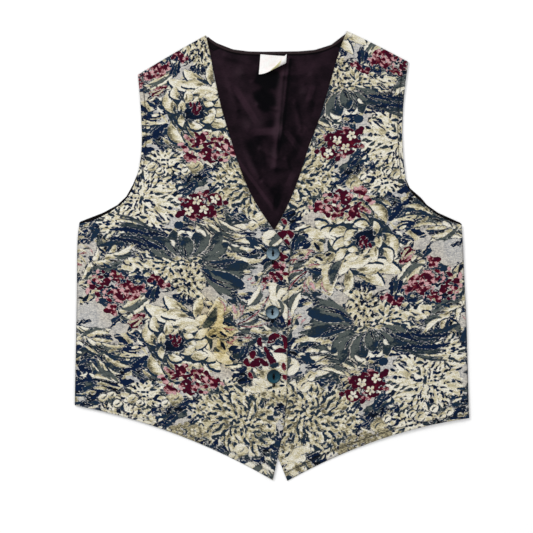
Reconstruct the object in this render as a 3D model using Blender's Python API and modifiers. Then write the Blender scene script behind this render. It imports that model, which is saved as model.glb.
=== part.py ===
"""A tapestry waistcoat, buttoned and laid flat on its back.

Seen from straight above, +Y runs up the garment to its neck, +X to the viewer's
right, which is the wearer's left, and +Z up out of the cloth. The underside of
the back lies flat at Z = 0. Everything is in metres.
"""

import math
from collections import namedtuple

import bmesh
import bpy
import numpy as np

# Walls of cloth, and the gap that pieces keep where they meet
BACK_WALL = 0.0012
LINING_WALL = 0.0010
FRONT_WALL = 0.0016
LABEL_WALL = 0.0010
GAP = 0.0003

# The back and its lining
LINING_INSET = 0.012
UNDERARM_ROW = 6.5
UNDERARM_SHARE = 0.3
NECK_BAND = 0.004
NECK_ROLL = 0.0012
NECK_LEFT = 0.26
NECK_RIGHT = 0.775
NECK_DEPTH = (0.020, 0.0245)
SHOULDER_RISE = (0.045, 0.0425)
NECK_CURVE = 4

# How the fronts lie
EDGE_DIP = 0.008
SECTION_DROP = 0.030
HEM_FALL = 0.058
LAP_EASE = 0.032
LAP_MARGIN = 0.010
CROWN = 0.0022
PLACKET = 0.045
HEM_BOW = 0.0123
HEM_SECTIONS = 3
SHOULDER_SECTIONS = 2
SHOULDER_BOW = 0.0008

# Buttons and label
BUTTON_RADIUS = 0.009
BUTTON_HEIGHT = 0.0034
BUTTON_SIDES = 28
DISH_LEVEL = 0.66
EYE_LENGTH = 0.0088
EYE_WIDTH = 0.0030
EYE_DEPTH = 0.0010
HOLE_RADIUS = 0.0008
HOLE_SPACING = 0.0042
LABEL_WIDTH = 0.034
LABEL_LENGTH = 0.027
LABEL_TOP = (-0.0150, 0.2618)
LABEL_TURN = math.radians(-4.5)
LABEL_FLAT = (0.020, 0.005)
LABEL_ROLL = (0.010, 0.0045)
LABEL_ROLLED = math.radians(200)
LABEL_REST = 0.006

# Each front is lofted between straight sections, from the shoulder seam to the hem.
# A section runs from the armhole or side seam (outer) to the V neck or front edge
# (inner). At a corner the edge turns sharply instead of running on as a curve.
Section = namedtuple("Section", "outer_x outer_y inner_x inner_y outer_corner inner_corner")

RIGHT_FRONT = [
    Section(-0.1742, 0.2353, -0.0858, 0.2867, True, True),
    Section(-0.1713, 0.2030, -0.0790, 0.2560, False, False),
    Section(-0.1693, 0.1700, -0.0730, 0.2250, False, False),
    Section(-0.1696, 0.1370, -0.0655, 0.1920, False, False),
    Section(-0.1745, 0.1060, -0.0560, 0.1600, False, False),
    Section(-0.1850, 0.0800, -0.0460, 0.1280, False, False),
    Section(-0.2025, 0.0625, -0.0375, 0.1035, False, False),
    Section(-0.2270, 0.0485, -0.0270, 0.0800, False, False),
    Section(-0.2503, 0.0415, -0.0140, 0.0575, True, False),
    Section(-0.2526, 0.0200, 0.0050, 0.0310, False, False),
    Section(-0.2533, -0.0150, 0.0241, 0.0107, False, True),
    Section(-0.2537, -0.0600, 0.0215, -0.0400, False, False),
    Section(-0.2545, -0.1050, 0.0200, -0.1050, False, False),
    Section(-0.2552, -0.1400, 0.0195, -0.1700, False, False),
    Section(-0.2557, -0.1650, 0.0160, -0.2170, False, False),
    Section(-0.2560, -0.1820, 0.0085, -0.2560, False, False),
    Section(-0.2561, -0.1938, 0.0010, -0.2910, True, True),
]

LEFT_FRONT = [
    Section(0.1768, 0.2522, 0.0975, 0.2922, True, True),
    Section(0.1730, 0.2220, 0.0885, 0.2700, False, False),
    Section(0.1697, 0.1900, 0.0800, 0.2410, False, False),
    Section(0.1690, 0.1550, 0.0705, 0.2080, False, False),
    Section(0.1718, 0.1150, 0.0600, 0.1740, False, False),
    Section(0.1770, 0.0880, 0.0485, 0.1440, False, False),
    Section(0.1955, 0.0690, 0.0380, 0.1110, False, False),
    Section(0.2185, 0.0510, 0.0285, 0.0845, False, False),
    Section(0.2462, 0.0400, 0.0156, 0.0560, True, False),
    Section(0.2480, 0.0150, 0.0020, 0.0325, False, False),
    Section(0.2495, -0.0250, -0.0169, 0.0080, False, True),
    Section(0.2515, -0.0620, -0.0170, -0.0400, False, False),
    Section(0.2530, -0.1000, -0.0170, -0.1050, False, False),
    Section(0.2536, -0.1400, -0.0160, -0.1700, False, False),
    Section(0.2546, -0.1700, -0.0100, -0.2150, False, False),
    Section(0.2554, -0.1900, 0.0040, -0.2520, False, False),
    Section(0.2561, -0.2105, 0.0200, -0.2922, True, True),
]

# The back's sections run straight across from its left edge to its right edge.
# The crest is the share of the shoulders' and neck's rise that a section follows.
BackSection = namedtuple("BackSection", "left_x left_y right_x right_y crest corner")

BACK = [
    BackSection(-0.1742, 0.2353, 0.1768, 0.2522, 1.00, True),
    BackSection(-0.1713, 0.2030, 0.1730, 0.2220, 0.80, False),
    BackSection(-0.1693, 0.1640, 0.1692, 0.1700, 0.45, False),
    BackSection(-0.1700, 0.1250, 0.1710, 0.1200, 0.15, False),
    BackSection(-0.1781, 0.0988, 0.1760, 0.0930, 0.00, False),
    BackSection(-0.1911, 0.0754, 0.1937, 0.0754, 0.00, False),
    BackSection(-0.2119, 0.0598, 0.2093, 0.0598, 0.00, False),
    BackSection(-0.2503, 0.0442, 0.2462, 0.0425, 0.00, True),
    BackSection(-0.2530, 0.0000, 0.2487, 0.0000, 0.00, False),
    BackSection(-0.2543, -0.1000, 0.2530, -0.1000, 0.00, False),
    BackSection(-0.2561, -0.1935, 0.2561, -0.2100, 0.00, True),
]
BACK_HEM_BOW = -0.008
BACK_FIRST_DROP = 0.032

# Folds of the back lining inside the V neck, each a ridge from a start to an end.
# Looking along it, the right side falls away over the ridge's width, and the left
# side over that width times its slant.
Fold = namedtuple("Fold", "start_x start_y end_x end_y height width slant")

FOLDS = [
    Fold(0.0195, 0.2560, 0.0156, 0.2340, 0.0016, 0.004, 3.0),
    Fold(0.0156, 0.2340, 0.0056, 0.1157, 0.0024, 0.005, 3.0),
    Fold(-0.0610, 0.1950, -0.0480, 0.1430, 0.0020, 0.008, 1.0),
    Fold(-0.0480, 0.1430, 0.0078, 0.0676, 0.0032, 0.008, 1.0),
    Fold(-0.0273, 0.1664, 0.0091, 0.1528, 0.0022, 0.009, 1.0),
    Fold(-0.0377, 0.2340, -0.0065, 0.1768, 0.0020, 0.009, 1.0),
    Fold(0.0138, 0.1625, 0.0429, 0.1300, 0.0022, 0.008, 1.0),
    Fold(0.0440, 0.2100, 0.0560, 0.1870, 0.0018, 0.008, 1.0),
]
FOLD_CLEAR = (0.010, 0.022)

# Buttons down the placket, from the top
Button = namedtuple("Button", "x y")

BUTTONS = [Button(0.0013, 0.0034), Button(0.0005, -0.0729), Button(0.0023, -0.1563)]

# How finely each sheet is divided
FRONT_STEPS = 2
FRONT_COLUMNS = 12
SEAM_SHARE = 0.032
BACK_STEPS = 2
BACK_SHOULDER_COLUMNS = 4
BACK_NECK_COLUMNS = 14
LINING_STEPS = 3
LINING_FINE_ROWS = 5
LINING_V_COLUMNS = 18
LINING_SIDE_COLUMNS = (0.13, 0.88)
LABEL_DIVISIONS = (6, 15)


def ease(value):
    """Smooth step from 0 to 1."""
    value = min(max(value, 0.0), 1.0)
    return value * value * (3 - 2 * value)


def curve_through(points, corners, position):
    """Point at a position along a smooth curve, where whole positions are the points."""
    last = len(points) - 1
    index = min(int(position), last - 1)
    part = position - index
    start, end = points[index], points[index + 1]
    before = 2 * start - end if corners[index] or index == 0 else points[index - 1]
    after = 2 * end - start if corners[index + 1] or index + 1 == last else points[index + 2]
    return 0.5 * (
        2 * start
        + (end - before) * part
        + (2 * before - 5 * start + 4 * end - after) * part**2
        + (3 * start - before - 3 * end + after) * part**3
    )


def front_point(sections, position, across):
    """Place in the plane: position counts sections down, across runs from outer to inner."""
    outer = [np.array((row.outer_x, row.outer_y)) for row in sections]
    inner = [np.array((row.inner_x, row.inner_y)) for row in sections]
    start = curve_through(outer, [row.outer_corner for row in sections], position)
    end = curve_through(inner, [row.inner_corner for row in sections], position)
    point = start + (end - start) * across
    to_hem = (len(sections) - 1 - position) / HEM_SECTIONS
    bow = SHOULDER_BOW * ease(1 - position) + HEM_BOW * ease(1 - to_hem)
    point[1] += 4 * bow * across * (1 - across)
    return point


def neck_profile(across):
    """Rise of the back's top edge over the line between its shoulder tips."""
    if across <= NECK_LEFT:
        return SHOULDER_RISE[0] * across / NECK_LEFT
    if across >= NECK_RIGHT:
        return SHOULDER_RISE[1] * (1 - across) / (1 - NECK_RIGHT)
    share = (across - NECK_LEFT) / (NECK_RIGHT - NECK_LEFT)
    chord = SHOULDER_RISE[0] + (SHOULDER_RISE[1] - SHOULDER_RISE[0]) * share
    depth = NECK_DEPTH[0] + (NECK_DEPTH[1] - NECK_DEPTH[0]) * share
    return chord - depth * (1 - abs(2 * share - 1) ** NECK_CURVE)


def back_point(position, across):
    """Place in the plane of the back: across runs from its left edge to its right edge."""
    left = [np.array((row.left_x, row.left_y)) for row in BACK]
    right = [np.array((row.right_x, row.right_y)) for row in BACK]
    crests = [np.array((row.crest,)) for row in BACK]
    corners = [row.corner for row in BACK]
    start = curve_through(left, corners, position)
    end = curve_through(right, corners, position)
    point = start + (end - start) * across
    point[1] += curve_through(crests, corners, position)[0] * neck_profile(across)
    hem = ease(position - (len(BACK) - 2))
    point[1] += 4 * BACK_HEM_BOW * hem * across * (1 - across)
    return point


def inner_edge(sections):
    """Heights and places of a front's V and front edge, for reading one from the other."""
    steps = np.linspace(0, len(sections) - 1, 8 * len(sections))
    line = np.array([front_point(sections, step, 1.0) for step in steps])[::-1]
    return line[:, 1], line[:, 0]


RIGHT_EDGE = inner_edge(RIGHT_FRONT)
LEFT_EDGE = inner_edge(LEFT_FRONT)
BACK_HEM = np.array([back_point(len(BACK) - 1, t) for t in np.linspace(0, 1, 33)])


def in_v_neck(x, y):
    """How far a point lies inside the open V, measured across to its nearer edge."""
    left_gap = x - np.interp(y, *RIGHT_EDGE)
    right_gap = np.interp(y, *LEFT_EDGE) - x
    return min(left_gap, right_gap)


def fold_height(x, y):
    """Rise of all the lining's folds together at one place."""
    total = 0.0
    for fold in FOLDS:
        run = np.array((fold.end_x - fold.start_x, fold.end_y - fold.start_y))
        offset = np.array((x - fold.start_x, y - fold.start_y))
        length = float(np.hypot(*run))
        along = float(offset @ run) / length
        aside = float(run[0] * offset[1] - run[1] * offset[0]) / length
        beyond = max(-along, along - length, 0.0)
        width = fold.width if aside < 0 else fold.width * fold.slant
        total += fold.height * math.exp(-((aside / width) ** 2) - (beyond / fold.width) ** 2)
    return total


def lining_top(x, y):
    """Height of the lining's upper face."""
    flat = BACK_WALL + GAP + LINING_WALL
    near, full = FOLD_CLEAR
    mask = ease((in_v_neck(x, y) - near) / (full - near))
    return flat + mask * fold_height(x, y)


def front_seat(x, y):
    """Height of what a front rests on: the lining, and past the back's hem the floor."""
    seat = BACK_WALL + LINING_WALL + 2 * GAP
    hem = float(np.interp(x, BACK_HEM[:, 0], BACK_HEM[:, 1]))
    return seat * (1 - ease((hem - y) / HEM_FALL))


def front_under(sections, laps_over, position, across):
    """Height of a front's lower face."""
    x, y = front_point(sections, position, across)
    span = front_point(sections, position, 1.0) - front_point(sections, position, 0.0)
    to_outer = across * float(np.hypot(*span))
    to_inner = (1 - across) * float(np.hypot(*span))
    to_hem = (len(sections) - 1 - position) / HEM_SECTIONS
    height = front_seat(x, y)
    middle = ease((to_inner - PLACKET) / PLACKET) * ease(to_outer / PLACKET)
    height += CROWN * middle * ease(to_hem) * ease(position / SHOULDER_SECTIONS)
    seam = min(to_outer, position * SECTION_DROP) / EDGE_DIP
    on_back = front_seat(x, y) / (BACK_WALL + LINING_WALL + 2 * GAP)
    height -= (LINING_WALL + GAP) * (1 - ease(seam)) * on_back
    if laps_over:
        past = x - float(np.interp(y, *LEFT_EDGE)) + LAP_EASE + LAP_MARGIN
        height += (FRONT_WALL + GAP) * ease(past / LAP_EASE)
    return max(height, 0.0)


def material(name, color, roughness, metallic=0.0):
    made = bpy.data.materials.new(name)
    made.use_nodes = True
    shader = made.node_tree.nodes["Principled BSDF"]
    shader.inputs["Base Color"].default_value = (*color, 1.0)
    shader.inputs["Roughness"].default_value = roughness
    shader.inputs["Metallic"].default_value = metallic
    return made


def add_object(name, mesh, finish, collection):
    made = bpy.data.objects.new(name, mesh)
    mesh.materials.append(finish)
    collection.objects.link(made)
    return made


def cloth(name, rows, columns, top, wall, finish, collection):
    """A sheet of cloth: a grid whose points are moved onto its sections, then thickened.

    rows and columns are the places of the grid's lines, top gives the upper face at
    one crossing, and wall the thickness there.
    """
    sheet = bmesh.new()
    bmesh.ops.create_grid(
        sheet, x_segments=len(columns) - 1, y_segments=len(rows) - 1, size=1.0
    )
    crossings = {}
    for vert in sheet.verts:
        column = round((vert.co.x + 1) / 2 * (len(columns) - 1))
        row = round((1 - vert.co.y) / 2 * (len(rows) - 1))
        vert.co = top(rows[row], columns[column])
        crossings[tuple(vert.co)] = rows[row], columns[column]
    below = bmesh.ops.extrude_face_region(sheet, geom=sheet.faces[:])
    for item in below["geom"]:
        if isinstance(item, bmesh.types.BMVert):
            item.co.z -= wall(*crossings[tuple(item.co)])
    bmesh.ops.recalc_face_normals(sheet, faces=sheet.faces)
    mesh = bpy.data.meshes.new(name)
    sheet.to_mesh(mesh)
    sheet.free()
    mesh.shade_smooth()
    mesh.set_sharp_from_angle(angle=math.radians(40))
    return add_object(name, mesh, finish, collection)


def fine_steps(count, steps):
    """Positions from 0 to count, with so many steps to each section."""
    return [step / steps for step in range(count * steps + 1)]


def build_front(name, sections, laps_over, finish, collection):
    def top(position, across):
        x, y = front_point(sections, position, across)
        return x, y, front_under(sections, laps_over, position, across) + FRONT_WALL

    rows = sorted({*fine_steps(len(sections) - 1, FRONT_STEPS), EDGE_DIP / SECTION_DROP})
    columns = [0.0, *np.linspace(SEAM_SHARE, 1.0, FRONT_COLUMNS)]
    return cloth(name, rows, columns, top, lambda *_: FRONT_WALL, finish, collection)


def neck_columns():
    """Lines down the back, closest together below the curve of the neck."""
    left = np.linspace(0, NECK_LEFT, BACK_SHOULDER_COLUMNS + 1)[:-1]
    neck = np.linspace(NECK_LEFT, NECK_RIGHT, BACK_NECK_COLUMNS + 1)
    right = np.linspace(NECK_RIGHT, 1, BACK_SHOULDER_COLUMNS + 1)[1:]
    return [*left, *neck, *right]


def build_back(finish, collection):
    band = NECK_BAND / BACK_FIRST_DROP

    def wall(position, across):
        inside = NECK_LEFT < across < NECK_RIGHT
        return BACK_WALL + (NECK_ROLL * ease(1 - position / band) if inside else 0.0)

    def top(position, across):
        x, y = back_point(position, across)
        return x, y, wall(position, across)

    rows = [0.0, band / 2, band] + fine_steps(len(BACK) - 1, BACK_STEPS)[1:]
    return cloth("back", rows, neck_columns(), top, wall, finish, collection)


def lining_place(position, across):
    """A point of the lining: the back's own point, drawn in from the nearest edge."""
    last = len(BACK) - 1
    start, end = back_point(position, 0.0), back_point(position, 1.0)
    width = float(end[0] - start[0])
    inset = LINING_INSET / width
    point = back_point(position, inset + (1 - 2 * inset) * across)
    aside = abs(2 * (across - NECK_LEFT) / (NECK_RIGHT - NECK_LEFT) - 1)
    neck_gap = NECK_BAND + GAP
    neck_gap += (LINING_INSET - neck_gap) * ease((aside - 0.88) / 0.12)
    point[1] -= neck_gap * ease(1 - position)
    side = ease(1 - min(across, 1 - across) / UNDERARM_SHARE)
    point[1] -= LINING_INSET * side * ease(2 - abs(position - UNDERARM_ROW))
    point[1] += LINING_INSET * ease(position - (last - 1))
    return point


def build_lining(finish, collection):
    def top(position, across):
        x, y = lining_place(position, across)
        return x, y, lining_top(x, y)

    rows = fine_steps(LINING_FINE_ROWS, LINING_STEPS) + list(range(LINING_FINE_ROWS + 1, len(BACK)))
    left, right = LINING_SIDE_COLUMNS
    columns = [0.0, left, *np.linspace(NECK_LEFT, NECK_RIGHT, LINING_V_COLUMNS), right, 1.0]
    return cloth("back_lining", rows, columns, top, lambda *_: LINING_WALL, finish, collection)


def label_point(down, across):
    """The label leaves the neck seam flat, then rolls up, sooner and tighter on the right."""
    radius = LABEL_ROLL[0] + (LABEL_ROLL[1] - LABEL_ROLL[0]) * across
    flat = LABEL_FLAT[0] + (LABEL_FLAT[1] - LABEL_FLAT[0]) * across
    along = LABEL_LENGTH * down
    turn = min(max(along - flat, 0.0) / radius, LABEL_ROLLED)
    straight = max(along - flat - radius * turn, 0.0)
    reach = min(along, flat) + radius * math.sin(turn) + straight * math.cos(turn)
    rise = radius * (1 - math.cos(turn)) + straight * math.sin(turn)
    return LABEL_WIDTH * across, -reach, rise


def label_seat(x, y):
    """Height of the label's lower face, just clear of the lining's folds around it."""
    steps = (-LABEL_REST, 0.0, LABEL_REST)
    return GAP + max(lining_top(x + across, y + up) for across in steps for up in steps)


def build_label(finish, collection):
    tilt_cos, tilt_sin = math.cos(LABEL_TURN), math.sin(LABEL_TURN)
    columns, rows = LABEL_DIVISIONS

    def place(down, across):
        x, y, rise = label_point(down, across)
        return (
            LABEL_TOP[0] + x * tilt_cos - y * tilt_sin,
            LABEL_TOP[1] + x * tilt_sin + y * tilt_cos,
            rise,
        )

    grid = [
        [place(down, across) for across in np.linspace(0, 1, columns + 1)]
        for down in np.linspace(0, 1, rows + 1)
    ]
    sheet = bmesh.new()
    bmesh.ops.create_grid(sheet, x_segments=columns, y_segments=rows, size=1.0)
    for vert in sheet.verts:
        column = round((vert.co.x + 1) / 2 * columns)
        row = round((1 - vert.co.y) / 2 * rows)
        x, y, rise = grid[row][column]
        vert.co = x, y, label_seat(x, y) + rise
    mesh = bpy.data.meshes.new("label")
    sheet.to_mesh(mesh)
    sheet.free()
    made = add_object("label", mesh, finish, collection)
    wall = made.modifiers.new("Wall", "SOLIDIFY")
    wall.thickness = LABEL_WALL
    wall.offset = 1.0
    mesh.shade_smooth()
    return made


def button_mesh():
    """Profile of a dished button, from the middle of its face to the middle of its back."""
    radius, height = BUTTON_RADIUS, BUTTON_HEIGHT
    profile = [
        (0.0, height * DISH_LEVEL),
        (radius * 0.55, height * 0.70),
        (radius * 0.78, height * 0.98),
        (radius * 0.88, height),
        (radius * 0.98, height * 0.80),
        (radius, height * 0.52),
        (radius * 0.90, height * 0.14),
        (radius * 0.60, 0.0),
        (0.0, 0.0),
    ]
    mesh = bpy.data.meshes.new("button_profile")
    edges = [(index, index + 1) for index in range(len(profile) - 1)]
    mesh.from_pydata([(x, 0, z) for x, z in profile], edges, [])
    return mesh


def eye_cutter(name, x, y, z, collection):
    """The long recess in the middle of a fish-eye button, open above its dished face."""
    made = bmesh.new()
    bmesh.ops.create_cube(made, size=1.0)
    for vert in made.verts:
        vert.co.x *= EYE_WIDTH
        vert.co.y *= EYE_LENGTH - EYE_WIDTH
        vert.co.z = vert.co.z * 2 * BUTTON_HEIGHT
    mesh = bpy.data.meshes.new(name)
    made.to_mesh(mesh)
    made.free()
    cutter = bpy.data.objects.new(name, mesh)
    cutter.location = (x, y, z + BUTTON_HEIGHT * (DISH_LEVEL + 1) - EYE_DEPTH)
    collection.objects.link(cutter)
    return cutter


def hole_cutter(name, x, y, z, collection):
    """A round hole for the thread, right through the button."""
    made = bmesh.new()
    bmesh.ops.create_cone(
        made,
        cap_ends=True,
        segments=8,
        radius1=HOLE_RADIUS,
        radius2=HOLE_RADIUS,
        depth=4 * BUTTON_HEIGHT,
    )
    mesh = bpy.data.meshes.new(name)
    made.to_mesh(mesh)
    made.free()
    cutter = bpy.data.objects.new(name, mesh)
    cutter.location = (x, y, z)
    collection.objects.link(cutter)
    return cutter


def cut(target, cutter):
    cutter.hide_render = True
    cutter.display_type = "WIRE"
    boolean = target.modifiers.new("Cut " + cutter.name, "BOOLEAN")
    boolean.operation = "DIFFERENCE"
    boolean.object = cutter


def build_button(number, button, finish, collection, cutters):
    mesh = button_mesh()
    made = add_object(f"button_{number}", mesh, finish, collection)
    seat = BACK_WALL + LINING_WALL + 2 * GAP + (FRONT_WALL + GAP) + FRONT_WALL
    height = seat + GAP
    made.location = (button.x, button.y, height)
    turned = made.modifiers.new("Turned", "SCREW")
    turned.steps = BUTTON_SIDES
    turned.render_steps = BUTTON_SIDES
    turned.use_merge_vertices = True
    turned.merge_threshold = 0.00001
    cut(made, eye_cutter(f"eye_cutter_{number}", button.x, button.y, height, cutters))
    for end in (-1, 1):
        name = f"hole_cutter_{number}_{'top' if end > 0 else 'bottom'}"
        y = button.y + end * HOLE_SPACING / 2
        cut(made, hole_cutter(name, button.x, y, height, cutters))
    return made


def main():
    for existing in list(bpy.data.objects):
        bpy.data.objects.remove(existing, do_unlink=True)
    waistcoat = bpy.data.collections.new("Tapestry waistcoat")
    cutters = bpy.data.collections.new("Cutters")
    bpy.context.scene.collection.children.link(waistcoat)
    bpy.context.scene.collection.children.link(cutters)

    plum = material("plum_back_cloth", (0.020, 0.016, 0.024), 0.55)
    satin = material("plum_lining", (0.017, 0.012, 0.020), 0.42)
    tapestry = material("floral_tapestry", (0.30, 0.30, 0.27), 0.85)
    teal = material("slate_teal_button", (0.045, 0.090, 0.125), 0.30)
    tape = material("pale_label", (0.72, 0.72, 0.70), 0.70)

    build_back(plum, waistcoat)
    build_lining(satin, waistcoat)
    build_front("front_right", RIGHT_FRONT, True, tapestry, waistcoat)
    build_front("front_left", LEFT_FRONT, False, tapestry, waistcoat)
    for number, button in enumerate(BUTTONS, start=1):
        build_button(number, button, teal, waistcoat, cutters)
    build_label(tape, waistcoat)


main()
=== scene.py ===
# %% [markdown]
# # A tapestry waistcoat, laid flat on its back
#
# The real object is a lady's buttoned waistcoat: two fronts of flowered tapestry cloth,
# a plum back with a plum lining, three slate-teal buttons and a pale label. It lies
# on a table and is seen from straight above.
#
# The solids of the part already hold its size and its main forms. This script puts a finer
# thin shell over each of them, prints and weaves its cloth, and adds the sewing.

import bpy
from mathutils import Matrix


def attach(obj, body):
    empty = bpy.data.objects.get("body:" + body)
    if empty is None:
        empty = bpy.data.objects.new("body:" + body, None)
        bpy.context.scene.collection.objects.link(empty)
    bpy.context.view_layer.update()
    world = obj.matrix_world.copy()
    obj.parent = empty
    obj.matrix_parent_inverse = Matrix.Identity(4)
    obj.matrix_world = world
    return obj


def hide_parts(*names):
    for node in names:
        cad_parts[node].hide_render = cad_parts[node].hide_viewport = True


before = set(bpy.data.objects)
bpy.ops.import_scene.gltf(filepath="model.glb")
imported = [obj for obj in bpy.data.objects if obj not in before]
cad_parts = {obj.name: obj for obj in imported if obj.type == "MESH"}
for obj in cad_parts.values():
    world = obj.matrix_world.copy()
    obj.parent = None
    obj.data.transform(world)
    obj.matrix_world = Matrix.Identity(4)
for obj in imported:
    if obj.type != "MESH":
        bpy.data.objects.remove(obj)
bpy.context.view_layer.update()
print("solids:", sorted(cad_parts))

# %% [markdown]
# ## How thick each cloth is
#
# Pressed cloth of this kind is 1 to 2 mm thick with its turned edges. The pieces lie on each
# other like sheets of paper, so each one's height follows from the walls below it. A gap of
# 0.3 mm keeps the faces of two cloths from flickering through each other.

# %% Modules and the measures of the cloth
import math

import bmesh
import bpy
import numpy as np

MM = 0.001
BACK_WALL = 0.0012
LINING_WALL = 0.001
FRONT_WALL = 0.0016
GAP = 0.0003
SEAT = BACK_WALL + LINING_WALL + 2 * GAP
print("the fronts rest", round(SEAT / MM, 1), "mm above the table")

# %% [markdown]
# ## Colours
#
# Colours are written as they look on a screen, from 0 to 255. Blender works with the
# light itself, so each one is turned into linear values first.


# %% Turn a screen colour into linear light
def linear(red, green, blue):
    """A screen colour from 0 to 255 as linear light, with full alpha."""
    shares = np.array((red, green, blue)) / 255
    light = np.where(shares <= 0.04045, shares / 12.92, ((shares + 0.055) / 1.055) ** 2.4)
    return (*light.tolist(), 1.0)


print("a middle grey gives back", round(linear(128, 128, 128)[0], 2), "of the light")

# %% [markdown]
# ## Camera
#
# The waistcoat was photographed from straight above. The camera stands far off with a long
# lens, so edges near the frame aren't seen from the side. It looks down along -Z, with +Y up
# the picture.

# %% Camera
VIEW_WIDTH = 0.6929
VIEW_CENTRE = (-0.00715, -0.01365)
CAMERA_HEIGHT = 2.4
SENSOR_WIDTH = 36


def new_object(name, data):
    """An object that shows the data, linked into the scene."""
    made = bpy.data.objects.new(name, data)
    bpy.context.scene.collection.objects.link(made)
    return made


camera_data = bpy.data.cameras.new("camera_above")
camera_data.sensor_width = SENSOR_WIDTH
camera_data.lens = SENSOR_WIDTH * CAMERA_HEIGHT / VIEW_WIDTH
camera = new_object("camera_above", camera_data)
camera.location = (*VIEW_CENTRE, CAMERA_HEIGHT)
bpy.context.scene.camera = camera
bpy.context.scene.view_settings.view_transform = "Standard"
print("camera sees", VIEW_WIDTH, "m from", CAMERA_HEIGHT, "m above")

# %% [markdown]
# ## Light
#
# A cut-out photograph has soft light and hardly a shadow. One broad lamp at the upper left
# shapes the folds, a weaker one at the right keeps their other side open, and a white world
# fills the rest. One small lamp would throw hard shadows that the photograph doesn't have.

# %% Lights
WORLD_STRENGTH = 0.72


def area_light(name, place, size, power):
    """A square soft light at place, turned to the middle of the table."""
    data = bpy.data.lights.new(name, "AREA")
    data.size = size
    data.energy = power
    lamp = new_object(name, data)
    lamp.location = (x, y, z) = place
    lamp.rotation_euler = (math.atan2(math.hypot(x, y), z), 0, math.atan2(-y, -x) - math.pi / 2)


area_light("key_upper_left", (-1.3, 1.2, 1.7), 0.9, 27)
area_light("fill_right", (1.6, -0.6, 1.9), 1.6, 8)

world = bpy.data.worlds.new("studio")
world.use_nodes = True
world.node_tree.nodes["Background"].inputs["Color"].default_value = (1, 1, 1, 1)
world.node_tree.nodes["Background"].inputs["Strength"].default_value = WORLD_STRENGTH
bpy.context.scene.world = world
print("lights and world ready")

# %% [markdown]
# ## Table
#
# A wide pale table lies just under the cloth and catches its faint shadow. It is one square
# face, because nothing of it but its colour is seen. The two helpers here add a material and
# its nodes, and every finish below is built with them.


# %% Helpers for materials and their nodes
def new_material(name):
    """An empty material, with its node tree and its shader."""
    made = bpy.data.materials.new(name)
    made.use_nodes = True
    return made, made.node_tree, made.node_tree.nodes["Principled BSDF"]


def feed(tree, made, inputs):
    """Gives a node's inputs fixed values or other nodes' outputs, by name or number."""
    for key, value in inputs.items():
        if isinstance(value, bpy.types.NodeSocket):
            tree.links.new(value, made.inputs[key])
        else:
            made.inputs[key].default_value = value
    return made


def node(tree, kind, inputs=None, **settings):
    """Adds a node with its settings, and feeds its inputs."""
    made = tree.nodes.new(kind)
    for key, value in settings.items():
        setattr(made, key, value)
    return feed(tree, made, inputs or {})


def mix(tree, share, first, second, **settings):
    """A mix of two colours by a share."""
    return node(tree, "ShaderNodeMix", {"Factor": share, "A": first, "B": second},
                data_type="RGBA", **settings).outputs["Result"]


def noise(tree, place, scale, detail=2.0):
    """A cloudy value on the given places."""
    return node(tree, "ShaderNodeTexNoise",
                {"Scale": scale, "Detail": detail, "Vector": place}).outputs["Fac"]


print("helpers for materials ready")

# %% [markdown]
# ## Table
#
# A wide pale table lies just under the cloth and catches its faint shadow. It is one square
# face, because nothing of it but its colour is seen.

# %% Table top
TABLE_HALF = 2.5
TABLE_DROP = 0.0002

table_finish, tree, shader = new_material("pale_table")
cloudy = noise(tree, node(tree, "ShaderNodeTexCoord").outputs["Object"], 6)
feed(tree, shader, {"Base Color": mix(tree, cloudy, linear(251, 251, 251), linear(254, 254, 254)),
                    "Roughness": 0.9, "Specular IOR Level": 0.1})

table_mesh = bpy.data.meshes.new("table_top")
table_corners = [(x * TABLE_HALF, y * TABLE_HALF, -TABLE_DROP)
                 for x, y in ((-1, -1), (1, -1), (1, 1), (-1, 1))]
table_mesh.from_pydata(table_corners, [], [(0, 1, 2, 3)])
table_mesh.materials.append(table_finish)
table = new_object("table_top", table_mesh)
print("table top", 2 * TABLE_HALF, "m across")

# %% [markdown]
# ## The cut of each cloth
#
# A front is lofted between straight sections, from the shoulder seam down to the hem. Each
# row gives the end at the armhole or side seam, the end at the V neck or front edge, and
# whether the edge turns a corner there. These are the same rows as in the part's source,
# so each shell lies exactly on its solid.

# %% Sections of the two fronts
RIGHT_FRONT = np.array([
    (-0.1742, 0.2353, -0.0858, 0.2867, 1, 1),
    (-0.1713, 0.203, -0.079, 0.256, 0, 0),
    (-0.1693, 0.17, -0.073, 0.225, 0, 0),
    (-0.1696, 0.137, -0.0655, 0.192, 0, 0),
    (-0.1745, 0.106, -0.056, 0.16, 0, 0),
    (-0.185, 0.08, -0.046, 0.128, 0, 0),
    (-0.2025, 0.0625, -0.0375, 0.1035, 0, 0),
    (-0.227, 0.0485, -0.027, 0.08, 0, 0),
    (-0.2503, 0.0415, -0.014, 0.0575, 1, 0),
    (-0.2526, 0.02, 0.005, 0.031, 0, 0),
    (-0.2533, -0.015, 0.0241, 0.0107, 0, 1),
    (-0.2537, -0.06, 0.0215, -0.04, 0, 0),
    (-0.2545, -0.105, 0.02, -0.105, 0, 0),
    (-0.2552, -0.14, 0.0195, -0.17, 0, 0),
    (-0.2557, -0.165, 0.016, -0.217, 0, 0),
    (-0.256, -0.182, 0.0085, -0.256, 0, 0),
    (-0.2561, -0.1938, 0.001, -0.291, 1, 1),
])
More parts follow.
